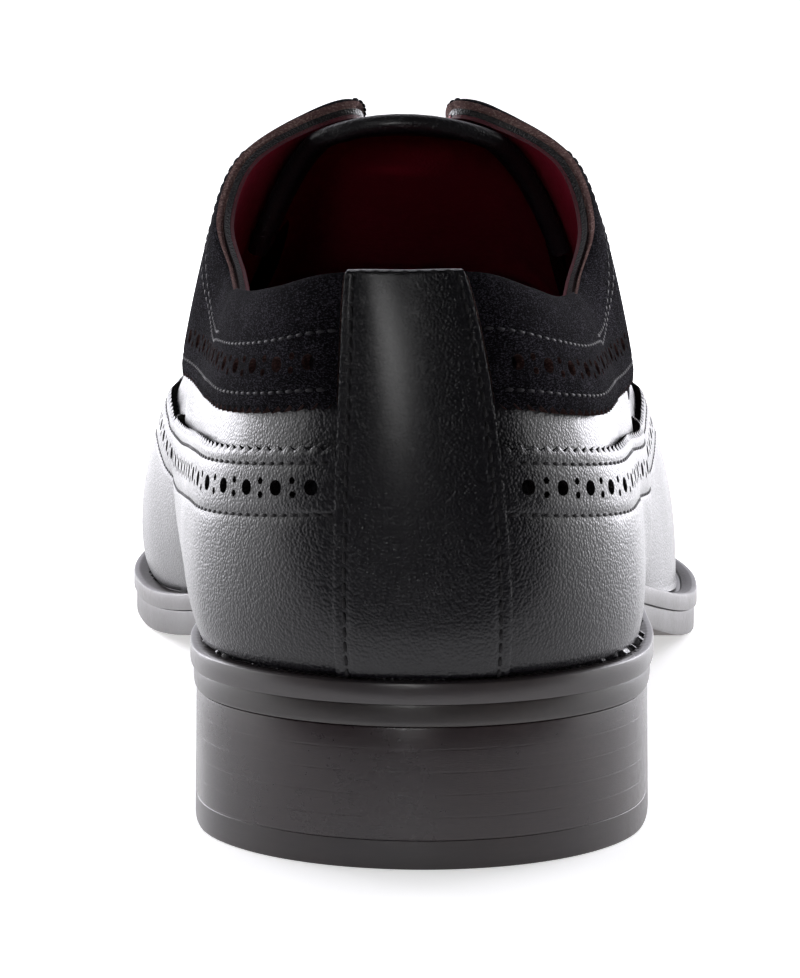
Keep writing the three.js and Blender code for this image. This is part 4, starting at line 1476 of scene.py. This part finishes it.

# %% [markdown]
# ## Floor, light and camera
# The shoe stands on a pale sweep that glows: its emission is painted light, dimmest next to the
# shoe as a painted shade round it and brighter away from it. Two long soft lights stand at its
# sides and two stronger ones beyond the toe, and draw bright edges on the calf while its middle
# stays dark, as in a studio. A weak light from above and one beside the camera open the shadows,
# and a narrow beam lights the red lining through the collar. The air is bright ahead of the shoe
# and dark behind the camera, for everything but the camera's own view.

# %% Floor
bpy.ops.object.select_all(action="DESELECT")
bpy.ops.mesh.primitive_plane_add(size=1, location=(0, 0, 0))
floor = bpy.context.object
floor.name = "studio_floor"
FLOOR_BREADTH, FLOOR_NEAR, FLOOR_FAR = 60, -0.1, 90
for corner in floor.data.vertices:
    corner.co = (corner.co.x * FLOOR_BREADTH, FLOOR_FAR if corner.co.y > 0 else FLOOR_NEAR, 0)
# The floor is no lamp but glows. Its emission colour is painted light: 0.5 within 0.1 m of the shoe's
# origin, rising to 1.0 at 0.9 m, so the ground round the shoe carries a painted shade.
glowing = {"roughness": 0.9, "emission_strength": 1.0}
paper, paper_tree, paper_shader = finish("pale paper", (0.92, 0.92, 0.93), **glowing)
away = wire(paper_tree, "ShaderNodeVectorMath", {0: object_place(paper_tree)}, operation="LENGTH")
painted_glow = wire(paper_tree, "ShaderNodeMapRange", {0: away.outputs["Value"], 1: 0.1, 2: 0.9, 3: 0.5, 4: 1.0})
paper_tree.links.new(painted_glow.outputs[0], paper_shader.inputs["Emission Color"])
fibre = wire(paper_tree, "ShaderNodeTexNoise", {"Scale": 300.0})
relief(paper_tree, paper_shader, fibre.outputs["Fac"], 0.00005)
floor.data.materials.append(paper)


# %% Lights
def place_light(data, place, target):
    """A light object at its place, turned to its target."""
    light = bpy.data.objects.new(data.name, data)
    light.location = place
    light.rotation_euler = (Vector(target) - Vector(place)).to_track_quat("-Z", "Y").to_euler()
    bpy.context.collection.objects.link(light)


def soft_light(name, place, target, size, power, colour=(1, 1, 1)):
    data = bpy.data.lights.new(name, "AREA")
    data.shape, data.size, data.size_y = "RECTANGLE", *size
    data.energy, data.color = power, colour
    place_light(data, place, target)


soft_light("left_bank", (-1.0, 0.25, 0.42), (0, 0.05, 0.05), (1.2, 0.8), 6)
soft_light("right_bank", (1.05, 0.3, 0.4), (0, 0.05, 0.05), (1.2, 0.8), 6)
soft_light("top_bank", (-0.1, 0.5, 1.4), (0, 0.05, 0), (1.4, 1.2), 1.5)
for name, side in (("left_rim", -0.95), ("right_rim", 0.95)):
    soft_light(name, (side, 1.15, 0.45), (0, 0, 0.06), (0.8, 1.0), 18, (0.95, 0.94, 1.0))
soft_light("front_fill", (-0.35, -1.1, 0.85), (0, 0.05, 0.07), (0.45, 0.3), 0.55)
beam_data = bpy.data.lights.new("collar_beam", "SPOT")
beam_data.energy, beam_data.shadow_soft_size = 26, 0.22
beam_data.spot_size, beam_data.spot_blend = math.radians(14), 0.9
place_light(beam_data, (-0.1, -0.65, 0.26), (0.0, 0.08, 0.098))
world = bpy.data.worlds.new("studio")
world.use_nodes = True
air = world.node_tree
seen = air.nodes["Background"]
seen.inputs[0].default_value = (0.95, 0.95, 0.96, 1)
aim = wire(air, "ShaderNodeSeparateXYZ", {0: wire(air, "ShaderNodeTexCoord").outputs["Generated"]})
brightness = {0: aim.outputs[1], 1: -0.1, 2: 0.7, 3: 0.012, 4: 1.0}
sweep = wire(air, "ShaderNodeMapRange", brightness, interpolation_type="SMOOTHSTEP")
unseen = wire(air, "ShaderNodeBackground", {0: (0.93, 0.92, 1.0, 1), 1: sweep.outputs[0]})
ray = wire(air, "ShaderNodeLightPath")
shares = {0: ray.outputs["Is Camera Ray"], 1: unseen.outputs[0], 2: seen.outputs[0]}
both = wire(air, "ShaderNodeMixShader", shares)
air.links.new(both.outputs[0], air.nodes["World Output"].inputs[0])
bpy.context.scene.world = world

# %% Camera
camera_data = bpy.data.cameras.new("photo_view")
camera_data.lens = 132.1
camera = bpy.data.objects.new("photo_view", camera_data)
camera.location = (-1.47 * MM, -521.7 * MM, 123.85 * MM)
camera.rotation_euler = (math.radians(90 - 8.163), 0, math.radians(0.206))
bpy.context.collection.objects.link(camera)
bpy.context.scene.camera = camera
bpy.context.scene.view_settings.view_transform = "Standard"
